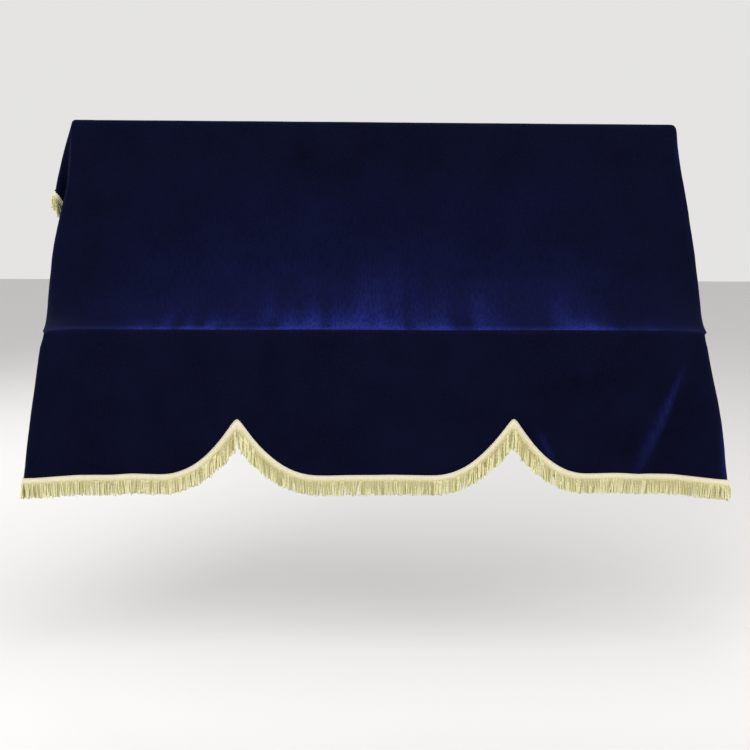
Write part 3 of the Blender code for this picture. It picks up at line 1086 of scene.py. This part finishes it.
@dataclass(frozen=True)
class YarnFinish:
    """Rayon yarn, with painted light along its ply and painted shade in the grooves, and a colour for shaded
    yarn.
    """

    name: str
    dark: tuple
    light: tuple
    shaded: tuple = (0.36, 0.32, 0.15, 1)
    shine: float = 0.42
    ply_turns: float = 13.0
    painted_groove_shade: float = 0.25
    sheen: tuple = (1.0, 0.93, 0.62, 1)
    patch_scale: float = 160.0
    fibre_scale: float = 1800.0
    fibre_share: float = 0.35
    relief: float = 0.5
    relief_depth: float = 0.0003

    def material(self) -> bpy.types.Material:
        """Makes the yarn, with its ply as slanted ridges along each strand.

        Returns:
            The material.
        """
        made, tree, shader = new_material(self.name, {
            "Roughness": self.shine, "Sheen Weight": 0.25, "Sheen Roughness": 0.4, "Sheen Tint": self.sheen,
            "Specular IOR Level": 0.45})
        tones = FibreTone(self.dark, self.light, self.patch_scale, self.fibre_scale, self.fibre_share)
        tone = tones.place(tree)
        strand = add_node(tree, "UVMap", uv_map="strand")
        ply = add_node(tree, "Group", {"Turns": self.ply_turns}, node_tree=yarn_ply_group())
        # The painted light and shade of each point, read from its tone.
        depth = add_node(tree, "Attribute", attribute_name="tone")
        layer = add_node(tree, "Mix", {MIX_A: self.shaded, MIX_B: WHITE}, data_type="RGBA")
        layered = add_node(tree, "Mix", {"Factor": 1.0}, data_type="RGBA", blend_type="MULTIPLY")
        # Painted shade in the ply's grooves, and painted light on its ridges.
        groove = add_node(tree, "Mix", {"Factor": self.painted_groove_shade}, data_type="RGBA",
                          blend_type="MULTIPLY")
        add_links(tree,
                  (strand, "UV", ply, "Vector"),
                  (depth, "Fac", layer, "Factor"),
                  (tone, "Colour", layered, MIX_A),
                  (layer, MIX_COLOUR, layered, MIX_B),
                  (layered, MIX_COLOUR, groove, MIX_A),
                  (ply, "Shade", groove, MIX_B),
                  (groove, MIX_COLOUR, shader, "Base Color"))
        add_bump(tree, (ply, "Height"), shader, self.relief, self.relief_depth)
        return made


def mesh_piece(name: str, points: np.ndarray, faces: list, material: bpy.types.Material) -> bpy.types.Object:
    """An object of points and faces, shaded smooth, in the scene.

    Args:
        name: The piece's name.
        points: Its points, one to a row.
        faces: Its faces, as tuples of point numbers.
        material: Its material.

    Returns:
        The object.
    """
    mesh = bpy.data.meshes.new(name)
    mesh.from_pydata([tuple(point) for point in points], [], faces)
    mesh.shade_smooth()
    mesh.materials.append(material)
    piece = bpy.data.objects.new(name, mesh)
    bpy.context.scene.collection.objects.link(piece)
    return piece


def apply_modifiers(piece: bpy.types.Object) -> None:
    """Applies all of a piece's modifiers.

    Args:
        piece: The piece.
    """
    bpy.ops.object.select_all(action="DESELECT")
    piece.select_set(True)
    bpy.context.view_layer.objects.active = piece
    for modifier in list(piece.modifiers):
        bpy.ops.object.modifier_apply(modifier=modifier.name)
    piece.select_set(False)


@dataclass
class VelvetSheet:
    """The cover's one sheet of velvet."""

    grid: SheetGrid
    finish: VelvetFinish = VelvetFinish()
    backing: BackingFinish = BackingFinish()

    def build(self) -> bpy.types.Object:
        """Makes the sheet as a thin closed mesh, with its flat places as a UV map.

        Returns:
            The sheet.
        """
        rows, columns = self.grid.rows, self.grid.columns
        faces = []
        for row in range(rows - 1):
            for column in range(columns - 1):
                corner = row * columns + column
                faces.append((corner, corner + columns, corner + columns + 1, corner + 1))
        piece = mesh_piece("cover_velvet", self.grid.places.reshape(-1, 3), faces, self.finish.material())
        piece.data.materials.append(self.backing.material())
        self._add_flat_map(piece.data)
        # The mask of painted sheen and highlights, stored on the points.
        painted_sheen = piece.data.attributes.new("painted_sheen", "FLOAT", "POINT")
        painted_sheen.data.foreach_set("value", self.grid.painted_sheen.astype(np.float32).ravel())
        thicken = piece.modifiers.new("Thickness", "SOLIDIFY")
        thicken.thickness = self.grid.form.thickness
        thicken.offset = 0.0
        thicken.material_offset = 1
        thicken.material_offset_rim = 0
        apply_modifiers(piece)
        return piece

    def _add_flat_map(self, mesh: bpy.types.Mesh) -> None:
        """Stores each point's place on the flat sheet.

        Args:
            mesh: The sheet's mesh.
        """
        layer = mesh.uv_layers.new(name="flat")
        flat = self.grid.flat.reshape(-1, 2) / FLAT_MAP_SPAN + 0.5
        loops = np.zeros(len(mesh.loops), np.int32)
        mesh.loops.foreach_get("vertex_index", loops)
        layer.uv.foreach_set("vector", flat[loops].astype(np.float32).ravel())


def run_lengths(line: np.ndarray) -> np.ndarray:
    """How far along a line of points each of them lies."""
    steps = np.linalg.norm(np.diff(line, axis=0), axis=1)
    return np.concatenate([[0.0], np.cumsum(steps)])


def sampled(at: np.ndarray, lengths: np.ndarray, values: np.ndarray) -> np.ndarray:
    """Points or directions between those of a line.

    Args:
        at: How far along the line they are asked for.
        lengths: How far along it the given ones lie.
        values: The given ones, by number and axis.

    Returns:
        One for each distance asked for.
    """
    return np.stack([np.interp(at, lengths, values[:, axis]) for axis in range(3)], axis=1)


@dataclass
class TrimLine:
    """The strip of the sheet that a trim is sewn to, as lines from the edge inwards."""

    grid: SheetGrid
    edge: Edge
    gap: float = 0.0006

    def __post_init__(self) -> None:
        """Reads the strip off the grid. All edges run the same way round the sheet."""
        grid = self.grid
        reach = grid.header_steps + 1
        if self.edge is Edge.FRONT:
            picks = [(grid.rows - 1 - k, slice(None)) for k in range(reach)]
        else:
            last = grid.rows - grid.header_steps
            columns = [k if self.edge is Edge.LEFT else grid.columns - 1 - k for k in range(reach)]
            picks = [(slice(last), column) for column in columns]
        way = -1 if self.edge is Edge.RIGHT else 1
        self.lines = np.array([grid.places[pick][::way] for pick in picks])
        self.facings = np.array([grid.outward[pick][::way] for pick in picks])
        self.lengths = run_lengths(self.lines[0])
        self.length = float(self.lengths[-1])

    def sample(self, distances: np.ndarray, depth: float) -> tuple:
        """Places and outward directions on the strip.

        Args:
            distances: How far along the edge each place lies.
            depth: How far in from the edge they lie, as a share of the strip's width.

        Returns:
            The places and the outward directions.
        """
        deep = depth * (len(self.lines) - 1)
        low = min(int(deep), len(self.lines) - 2)
        part = deep - low
        line = self.lines[low] * (1 - part) + self.lines[low + 1] * part
        facing = self.facings[low] * (1 - part) + self.facings[low + 1] * part
        places = sampled(distances, self.lengths, line)
        ways = sampled(distances, self.lengths, facing)
        return places, ways / np.linalg.norm(ways, axis=1, keepdims=True)

    def lifted(self, distances: np.ndarray, depth: float, lift: np.ndarray | float) -> np.ndarray:
        """Works out places above the back of the trim, which lies a gap off the sheet's outer face.

        Args:
            distances: How far along the edge each place lies.
            depth: How far in from the edge they lie, as a share of the strip's width.
            lift: How far above the trim's back they lie, for each or for all.

        Returns:
            The places.
        """
        places, ways = self.sample(distances, depth)
        return places + ways * np.reshape(self.grid.form.thickness / 2 + self.gap + lift, (-1, 1))


def wrapped_map(rows: int, around: int, lengths: np.ndarray) -> np.ndarray:
    """Strand-map corners for the faces of a tube, without a backward face at its seam.

    Args:
        rows: The number of rings of points.
        around: The number of points in a ring.
        lengths: How far along each ring lies.

    Returns:
        A pair for each corner, face by face.
    """
    step = np.arange(around)
    corners = np.zeros((rows - 1, around, 4, 2))
    corners[:, :, 0, 0] = corners[:, :, 3, 0] = step / around
    corners[:, :, 1, 0] = corners[:, :, 2, 0] = (step + 1) / around
    corners[:, :, 0, 1] = corners[:, :, 1, 1] = lengths[:-1, None]
    corners[:, :, 2, 1] = corners[:, :, 3, 1] = lengths[1:, None]
    return corners.reshape(-1, 2)


def ring_faces(base: int, rings: int, around: int) -> list:
    """The faces of a tube, closed at both ends.

    Args:
        base: The number of its first point.
        rings: The number of its rings of points.
        around: The number of points in a ring.

    Returns:
        The faces, as tuples of point numbers.
    """
    step = np.arange(around)
    after = (step + 1) % around
    last = base + (rings - 1) * around
    faces = []
    for low in range(base, last, around):
        high = low + around
        faces += zip(low + step, low + after, high + after, high + step)
    faces.append(tuple(base + step[::-1]))
    faces.append(tuple(last + step))
    return faces


def tube_mesh(paths: np.ndarray, ways: np.ndarray, radii: np.ndarray, outline: np.ndarray,
              turns: np.ndarray, lengths: np.ndarray) -> tuple:
    """Points and faces of many tubes that share a number of rings, closed at both ends.

    Args:
        paths: The middle points, by tube, ring and axis.
        ways: A direction across each tube at each ring.
        radii: The radius at each tube and ring.
        outline: The ring's outline, as an angle and a share of the radius for each point.
        turns: The twist at each tube and ring, in radians.
        lengths: How far along each ring lies, for the strand map.

    Returns:
        The points, the faces, and the strand map's corners.
    """
    tubes, rings, _ = paths.shape
    around = len(outline)
    along = np.gradient(paths, axis=1)
    along /= np.linalg.norm(along, axis=2, keepdims=True)
    first = ways - along * np.sum(ways * along, axis=2, keepdims=True)
    first /= np.linalg.norm(first, axis=2, keepdims=True)
    second = np.cross(along, first)
    angle = outline[None, None, :, 0] + turns[:, :, None]
    reach = outline[None, None, :, 1] * radii[:, :, None]
    points = (paths[:, :, None, :]
              + first[:, :, None, :] * (np.cos(angle) * reach)[..., None]
              + second[:, :, None, :] * (np.sin(angle) * reach)[..., None])
    share = np.arange(around) / around
    start_cap = np.stack([share[::-1], np.full(around, lengths[0])], axis=1)
    end_cap = np.stack([share, np.full(around, lengths[-1])], axis=1)
    corners = np.concatenate([wrapped_map(rings, around, lengths), start_cap, end_cap])
    faces = []
    for tube in range(tubes):
        faces += ring_faces(tube * rings * around, rings, around)
    return points.reshape(-1, 3), faces, np.tile(corners, (tubes, 1))


def add_strand_map(mesh: bpy.types.Mesh, corners: np.ndarray, tones: np.ndarray) -> None:
    """Stores each corner's place around and along its strand, and each point's tone.

    Args:
        mesh: The mesh.
        corners: A pair for each corner of its faces.
        tones: A tone for each point, from nought for shaded yarn to one.
    """
    layer = mesh.uv_layers.new(name="strand")
    layer.uv.foreach_set("vector", corners.astype(np.float32).ravel())
    tone = mesh.attributes.new("tone", "FLOAT", "POINT")
    tone.data.foreach_set("value", tones.astype(np.float32))


@dataclass
class FringeHeader:
    """The woven header of the fringe along one edge: a braided band with a cord on each rim.

    Tones run from nought, for shaded yarn, to one.
    """

    line: TrimLine
    body: float = 0.0010
    shade: float = 0.35
    lit_start: float = 0.5
    lit_rate: float = 2.2
    braid_rise: float = 0.0013
    braid_repeat: float = 0.0105
    braid_step: float = 0.0013
    braid_columns: int = 11
    braid_swing: float = 0.24
    braid_dip: float = 0.2
    braid_width: float = 0.13
    # The rims' cords: how far in they run, how they lie, and their two plies' ridges and grooves.
    rim_depths: tuple = (0.02, 0.98)
    rim_radius: float = 0.0011
    rim_lift: float = 0.6
    rim_step: float = 0.0022
    rim_inset: float = 0.001
    rim_repeat: float = 0.012
    rim_sides: int = 6
    rim_ridge: float = 1.12
    rim_groove: float = 0.72

    def build(self, material: bpy.types.Material) -> bpy.types.Object:
        """Makes the header.

        Args:
            material: The header's yarn.

        Returns:
            The header.
        """
        points, faces, corners, tones = [], [], [], []
        base = 0
        for part in (self._band(), *(self._rim_cord(depth) for depth in self.rim_depths)):
            points.append(part[0])
            faces += [tuple(number + base for number in face) for face in part[1]]
            corners.append(part[2])
            tones.append(part[3])
            base += len(part[0])
        name = f"{self.line.edge.value}_fringe_header"
        piece = mesh_piece(name, np.concatenate(points), faces, material)
        add_strand_map(piece.data, np.concatenate(corners), np.concatenate(tones))
        return piece

    def _band(self) -> tuple:
        """Works out the band, which is darker towards the strands.

        Returns:
            Its points, its faces, its strand map's corners and its points' tones.
        """
        count = int(self.line.length / self.braid_step)
        distances = np.linspace(0.0, self.line.length, count)
        depths = np.linspace(0.0, 1.0, self.braid_columns)
        layers = [self.line.lifted(distances, depth, 0.0) for depth in depths]
        for depth in depths[::-1]:
            layers.append(self.line.lifted(distances, depth, self._braid_lift(distances, depth)))
        ring = len(layers)
        corners = [wrapped_map(count, ring, distances / STRAND_LENGTH), np.zeros((2 * ring, 2))]
        lit = np.clip(self.lit_rate * depths - self.lit_start, 0, 1)
        shades = self.shade + (1 - self.shade) * lit
        tones = np.tile(np.concatenate([shades, shades[::-1]]), count)
        points = np.stack(layers, axis=1).reshape(-1, 3)
        return points, ring_faces(0, count, ring), np.concatenate(corners), tones

    def _braid_lift(self, distances: np.ndarray, depth: float) -> np.ndarray:
        """Works out the band's outer face, with the two cords that cross on it.

        Args:
            distances: How far along the edge each place lies.
            depth: How far in from the edge they lie, as a share of the header's width.

        Returns:
            The lift above the band's back at each place.
        """
        phase = 2 * math.pi * distances / self.braid_repeat
        lift = np.full(len(distances), self.body)
        for turn in (0.0, math.pi):
            centre = 0.5 + self.braid_swing * np.sin(phase + turn)
            over = 1 - self.braid_dip + self.braid_dip * np.cos(2 * phase + turn)
            lift += self.braid_rise * over * np.exp(-((depth - centre) / self.braid_width) ** 2)
        return lift

    def _rim_cord(self, depth: float) -> tuple:
        """Works out the twisted cord along one rim.

        Args:
            depth: How far in from the edge it runs, as a share of the header's width.

        Returns:
            Its points, its faces, its strand map's corners and its points' tones.
        """
        count = int(self.line.length / self.rim_step)
        distances = np.linspace(self.rim_inset, self.line.length - self.rim_inset, count)
        path = self.line.lifted(distances, depth, self.body + self.rim_radius * self.rim_lift)[None]
        ways = self.line.sample(distances, depth)[1][None]
        angles = [2 * math.pi * k / self.rim_sides for k in range(self.rim_sides)]
        reaches = [self.rim_ridge if k % 3 else self.rim_groove for k in range(self.rim_sides)]
        outline = np.array([angles, reaches]).T
        radii = np.full((1, count), self.rim_radius)
        turns = (2 * math.pi * distances / self.rim_repeat)[None]
        tube = tube_mesh(path, ways, radii, outline, turns, distances / STRAND_LENGTH)
        return *tube, np.full(len(tube[0]), max(depth, self.shade))


@dataclass
class FringeStrands:
    """The twisted strands of the fringe along one edge, in two layers.

    They lean together in clumps, and each has a random spread of its own. Those under the two peaks
    of the front hem are longer. Tones are painted light and shade, from nought for shaded yarn to one:
    the back layer is painted darker as shade, and the tips are painted lighter.
    """

    line: TrimLine
    radius: float = 0.00170
    pitch: float = 0.0036
    inset: float = 0.002
    rings: int = 14
    sides: int = 6
    turns: float = 2.2
    lobe: float = 0.16
    knots: int = 8
    # Where the root lies in the header's width, and how many radii above the trim's back.
    root_depth: float = 0.12
    root_lift: float = 0.6
    # A strand leaves the header from this depth towards its root, and turns plumb at this rate.
    leave_depth: float = 0.9
    leave_start: float = 0.25
    leave_rate: float = 1.5
    touch_reach: float = 0.02
    # The rounded tip: where it starts, how far it would reach, and the least that is left of it.
    tip_start: float = 0.92
    tip_reach: float = 0.088
    tip_least: float = 0.12
    peak_extra: float = 0.32
    peak_extra_reach: float = 0.07
    # The clumps' noise, and how far it and chance lean a strand along +X and +Y.
    clump_scale: float = 70.0
    clump_place: tuple = (3.1, 0.2)
    clump_lean: tuple = (0.20, 0.04)
    lean_spread: tuple = (0.05, 0.02)
    length_spread: float = 0.045
    radius_spread: float = 0.06
    # The back layer's tones are painted shade; the tips get painted light.
    front_tones: tuple = (0.75, 1.0)
    back_painted_shade: tuple = (0.0, 0.32)
    tip_lit: float = 0.3

    def build(self, material: bpy.types.Material, cloth: BVHTree) -> bpy.types.Object:
        """Makes the strands, which leave the header and hang plumb.

        Args:
            material: The strands' yarn.
            cloth: The sheet's surface, which the strands lie clear of.

        Returns:
            The strands.
        """
        edge = self.line.edge.value
        draw = random.Random(f"strands {edge}")
        strands = []
        for layer in Layer:
            strands += self._layer(layer, draw, cloth)
        paths, ways, radii, turns, tones = (np.array(part) for part in zip(*strands))
        angles = np.arange(self.sides) * 2 * math.pi / self.sides
        outline = np.stack([angles, 1 + self.lobe * np.cos(2 * angles)], axis=1)
        points, faces, corners = tube_mesh(paths, ways, radii, outline, turns, self._shares())
        piece = mesh_piece(f"{edge}_fringe_strands", points, faces, material)
        add_strand_map(piece.data, corners, tones.ravel())
        return piece

    def _shares(self) -> np.ndarray:
        """How far along a strand each ring lies, as a share of its length."""
        return np.linspace(0, 1, self.rings)

    def _layer(self, layer: Layer, draw: random.Random, cloth: BVHTree) -> list:
        """Works out the strands of one layer.

        Args:
            layer: The layer.
            draw: The source of the strands' random spread.
            cloth: The sheet's surface.

        Returns:
            Each strand's path, and at its rings the direction across, the radius and the turn, and at
            its points the tone.
        """
        on_front = layer is Layer.FRONT
        share = self._shares()
        past = (share - self.tip_start) / self.tip_reach
        rounded = np.sqrt(np.maximum(1 - past ** 2, self.tip_least))
        body = np.where(share < self.tip_start, 1.0, rounded)
        first = self.inset if on_front else self.inset + self.pitch / 2
        distances = np.arange(first, self.line.length - self.inset, self.pitch)
        roots, facings = self.line.sample(distances, self.root_depth)
        leaves = roots - self.line.sample(distances, self.leave_depth)[0]
        starts = self.line.lifted(distances, self.root_depth, self.root_lift * self.radius)
        strands = []
        for start, leave, facing, distance in zip(starts, leaves, facings, distances):
            across, level = self.clump_place
            clump = noise.noise(Vector((distance * self.clump_scale, across, level + layer.value)))
            lean = [clump * pull + draw.gauss(0, stray)
                    for pull, stray in zip(self.clump_lean, self.lean_spread)]
            near_peak = math.exp(-(self.line.grid.form.from_peak(start[0]) / self.peak_extra_reach) ** 2)
            length = STRAND_LENGTH * (1 + self.peak_extra * near_peak + draw.gauss(0, self.length_spread))
            away = Vector(leave).normalized()
            clear = self.radius * layer.value
            knots = self._hang(Vector(start), away, Vector((*lean, 0)), length, clear, cloth)
            path = sampled(share, np.linspace(0, 1, self.knots), knots)
            radii = self.radius * (1 + draw.gauss(0, self.radius_spread)) * body
            turns = draw.random() * 2 * math.pi + 2 * math.pi * self.turns * share
            tone = draw.uniform(*(self.front_tones if on_front else self.back_painted_shade))
            tones = np.repeat(np.minimum(tone + self.tip_lit * share ** 2, 1), self.sides)
            strands.append((path, np.repeat(facing[None], self.rings, axis=0), radii, turns, tones))
        return strands

    def _hang(self, start: Vector, away: Vector, lean: Vector, length: float, clear: float,
              cloth: BVHTree) -> np.ndarray:
        """Works out the knots of one strand from its root to its tip.

        Args:
            start: Its root.
            away: The way in which it leaves the header.
            lean: How it leans from plumb.
            length: Its length.
            clear: How far its middle stays off the sheet.
            cloth: The sheet's surface.

        Returns:
            The knots.
        """
        plumb = (Vector((0, 0, -1)) + lean).normalized()
        step = length / (self.knots - 1)
        knots = [start]
        for knot in range(1, self.knots):
            turned = min(self.leave_start + self.leave_rate * knot / self.knots, 1.0)
            way = (away * (1 - turned) + plumb * turned).normalized()
            place = knots[-1] + way * step
            near, facing, _, _ = cloth.find_nearest(place)
            if near is not None:
                off = (place - near).dot(facing)
                if off < clear and (place - near).length < self.touch_reach:
                    place = place + facing * (clear - off)
            knots.append(place)
        return np.array(knots)


@dataclass
class HemStitches:
    """A row of short stitches along the plain back hem."""

    grid: SheetGrid
    inset_rows: int = 1
    pitch: float = 0.0055
    length: float = 0.0036
    radius: float = 0.00035
    rings: int = 4
    sides: int = 5
    middle_lift: float = 1.3
    end_sink: float = 4.0
    twist_share: float = 0.1

    def build(self, material: bpy.types.Material) -> bpy.types.Object:
        """Makes the stitches.

        Args:
            material: The thread.

        Returns:
            The stitches.
        """
        columns = slice(self.grid.header_steps + 1, self.grid.columns - self.grid.header_steps - 1)
        line = self.grid.places[self.inset_rows, columns]
        facing = self.grid.outward[self.inset_rows, columns]
        lengths = run_lengths(line)
        count = int(lengths[-1] / self.pitch)
        middles = (np.arange(count) + 0.5) * self.pitch
        paths = np.zeros((count, self.rings, 3))
        ways = np.zeros((count, self.rings, 3))
        for ring in range(self.rings):
            share = ring / (self.rings - 1) - 0.5
            at = middles + share * self.length
            rise = self.radius * (self.middle_lift - self.end_sink * share * share)
            ways[:, ring] = sampled(at, lengths, facing)
            paths[:, ring] = sampled(at, lengths, line)
            paths[:, ring] += ways[:, ring] * (self.grid.form.thickness / 2 + rise)
        outline = np.array([(2 * math.pi * k / self.sides, 1.0) for k in range(self.sides)])
        radii = np.full((count, self.rings), self.radius)
        straight = np.zeros((count, self.rings))
        share = np.linspace(0, self.twist_share, self.rings)
        points, faces, corners = tube_mesh(paths, ways, radii, outline, straight, share)
        piece = mesh_piece("back_hem_stitches", points, faces, material)
        add_strand_map(piece.data, corners, np.ones(len(points)))
        return piece


@dataclass(frozen=True)
class SoftBox:
    """One soft light: where it stands and points, its width and height, and its watts."""

    name: str
    place: tuple
    target: tuple
    size: tuple
    power: float

    def build(self) -> None:
        """Makes the light."""
        data = bpy.data.lights.new(self.name, "AREA")
        data.shape = "RECTANGLE"
        data.size, data.size_y = self.size
        data.energy = self.power
        light = bpy.data.objects.new(self.name, data)
        light.location = self.place
        way = Vector(self.target) - Vector(self.place)
        light.rotation_euler = way.to_track_quat("-Z", "Y").to_euler()
        bpy.context.scene.collection.objects.link(light)


@dataclass
class Studio:
    """The pale floor, the soft lights and the camera."""

    floor_z: float = -1.31
    floor_size: float = 24.0
    floor_colour: tuple = (0.66, 0.65, 0.64, 1)
    backdrop_colour: tuple = (1.0, 0.99, 0.985, 1)
    backdrop_light: float = 0.76
    backdrop_seen: float = 0.78
    lights: tuple = (
        SoftBox("key_light", (-1.9, -3.0, 2.3), (0, -0.2, -0.3), (3.2, 2.4), 72),
        SoftBox("top_light", (0.2, -0.4, 2.3), (0, -0.3, -0.5), (2.6, 1.6), 34),
        SoftBox("front_light", (0.3, -3.6, -0.3), (0, -0.4, -0.8), (3.0, 1.2), 12),
        SoftBox("right_light", (3.1, -1.0, 0.6), (0.6, -0.3, -0.5), (1.4, 2.2), 32),
        SoftBox("back_light", (-1.6, 2.6, 1.9), (0, 0.1, -0.3), (2.6, 1.6), 42),
        SoftBox("left_light", (-3.2, 0.9, 0.7), (-0.6, 0, -0.4), (1.4, 2.2), 24),
    )
    camera_place: tuple = (-0.062, -2.483, -0.225)
    pitch: float = 10.43
    yaw: float = -1.52
    roll: float = 0.327
    lens: float = 42.24
    sensor: float = 36.0

    def build(self) -> None:
        """Makes the floor, the background, the lights and the camera."""
        self._floor()
        self._background()
        for light in self.lights:
            light.build()
        self._camera()

    def _floor(self) -> None:
        """Makes the plain pale floor."""
        bpy.ops.object.select_all(action="DESELECT")
        bpy.ops.mesh.primitive_plane_add(size=self.floor_size, location=(0, 0, self.floor_z))
        floor = bpy.context.active_object
        floor.name = "floor"
        made, _, _ = new_material("pale_floor", {"Base Color": self.floor_colour, "Roughness": 0.7})
        floor.data.materials.append(made)

    def _background(self) -> None:
        """Makes the even pale background, and keeps the colours as they are."""
        world = bpy.data.worlds.new("pale_backdrop")
        world.use_nodes = True
        tree = world.node_tree
        backdrop = tree.nodes["Background"]
        set_values(backdrop, {"Color": self.backdrop_colour})
        seen = add_node(tree, "LightPath")
        strength = add_node(tree, "MapRange", {"To Min": self.backdrop_light, "To Max": self.backdrop_seen})
        add_links(tree,
                  (seen, "Is Camera Ray", strength, "Value"),
                  (strength, "Result", backdrop, "Strength"))
        bpy.context.scene.world = world
        bpy.context.scene.view_settings.view_transform = "Standard"

    def _camera(self) -> None:
        """Makes the camera: seen from a little left of the middle, tipped down."""
        pitch, yaw, roll = (math.radians(a) for a in (self.pitch, self.yaw, self.roll))
        level = Vector((math.cos(yaw), math.sin(yaw), 0))
        ahead = Vector((-math.sin(yaw), math.cos(yaw), 0))
        up = Vector((0, 0, 1))
        view = ahead * math.cos(pitch) - up * math.sin(pitch)
        above = ahead * math.sin(pitch) + up * math.cos(pitch)
        right = level * math.cos(roll) + above * math.sin(roll)
        top = above * math.cos(roll) - level * math.sin(roll)
        data = bpy.data.cameras.new("camera")
        data.sensor_width = self.sensor
        data.sensor_fit = "HORIZONTAL"
        data.lens = self.lens
        camera = bpy.data.objects.new("camera", data)
        turn = Matrix((right, top, -view)).transposed().to_4x4()
        camera.matrix_world = Matrix.Translation(self.camera_place) @ turn
        bpy.context.scene.collection.objects.link(camera)
        bpy.context.scene.camera = camera


def main() -> None:
    """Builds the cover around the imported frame, dresses it and sets the studio."""
    logging.basicConfig(level=logging.INFO, format="%(name)s: %(message)s")
    Studio().build()
    form = DrapedForm()
    grid = SheetGrid(form)
    sheet = VelvetSheet(grid).build()
    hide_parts("cover_cloth")
    strand_yarn = YarnFinish("gold_strand_yarn", (0.88, 0.83, 0.40, 1), (0.99, 0.97, 0.64, 1)).material()
    header_yarn = YarnFinish("cream_gold_braid", (0.75, 0.70, 0.50, 1), (0.85, 0.82, 0.67, 1),
                             (0.90, 0.84, 0.54, 1), shine=0.5).material()
    thread = YarnFinish("navy_thread", (0.003, 0.004, 0.014, 1), (0.008, 0.010, 0.040, 1),
                        shine=0.8).material()
    cloth = BVHTree.FromObject(sheet, bpy.context.evaluated_depsgraph_get())
    pieces = [sheet]
    for edge in Edge:
        line = TrimLine(grid, edge)
        made = [FringeHeader(line).build(header_yarn), FringeStrands(line).build(strand_yarn, cloth)]
        for piece in made:
            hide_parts(f"fringe_{edge.value}")
        pieces += made
        LOG.info("%s fringe: %.3f m long", edge.value, line.length)
    stitches = HemStitches(grid).build(thread)
    pieces.append(stitches)
    for piece in pieces:
        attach(piece, "root")
        LOG.info("%s: %d faces", piece.name, len(piece.data.polygons))


if __name__ == "__main__":
    main()
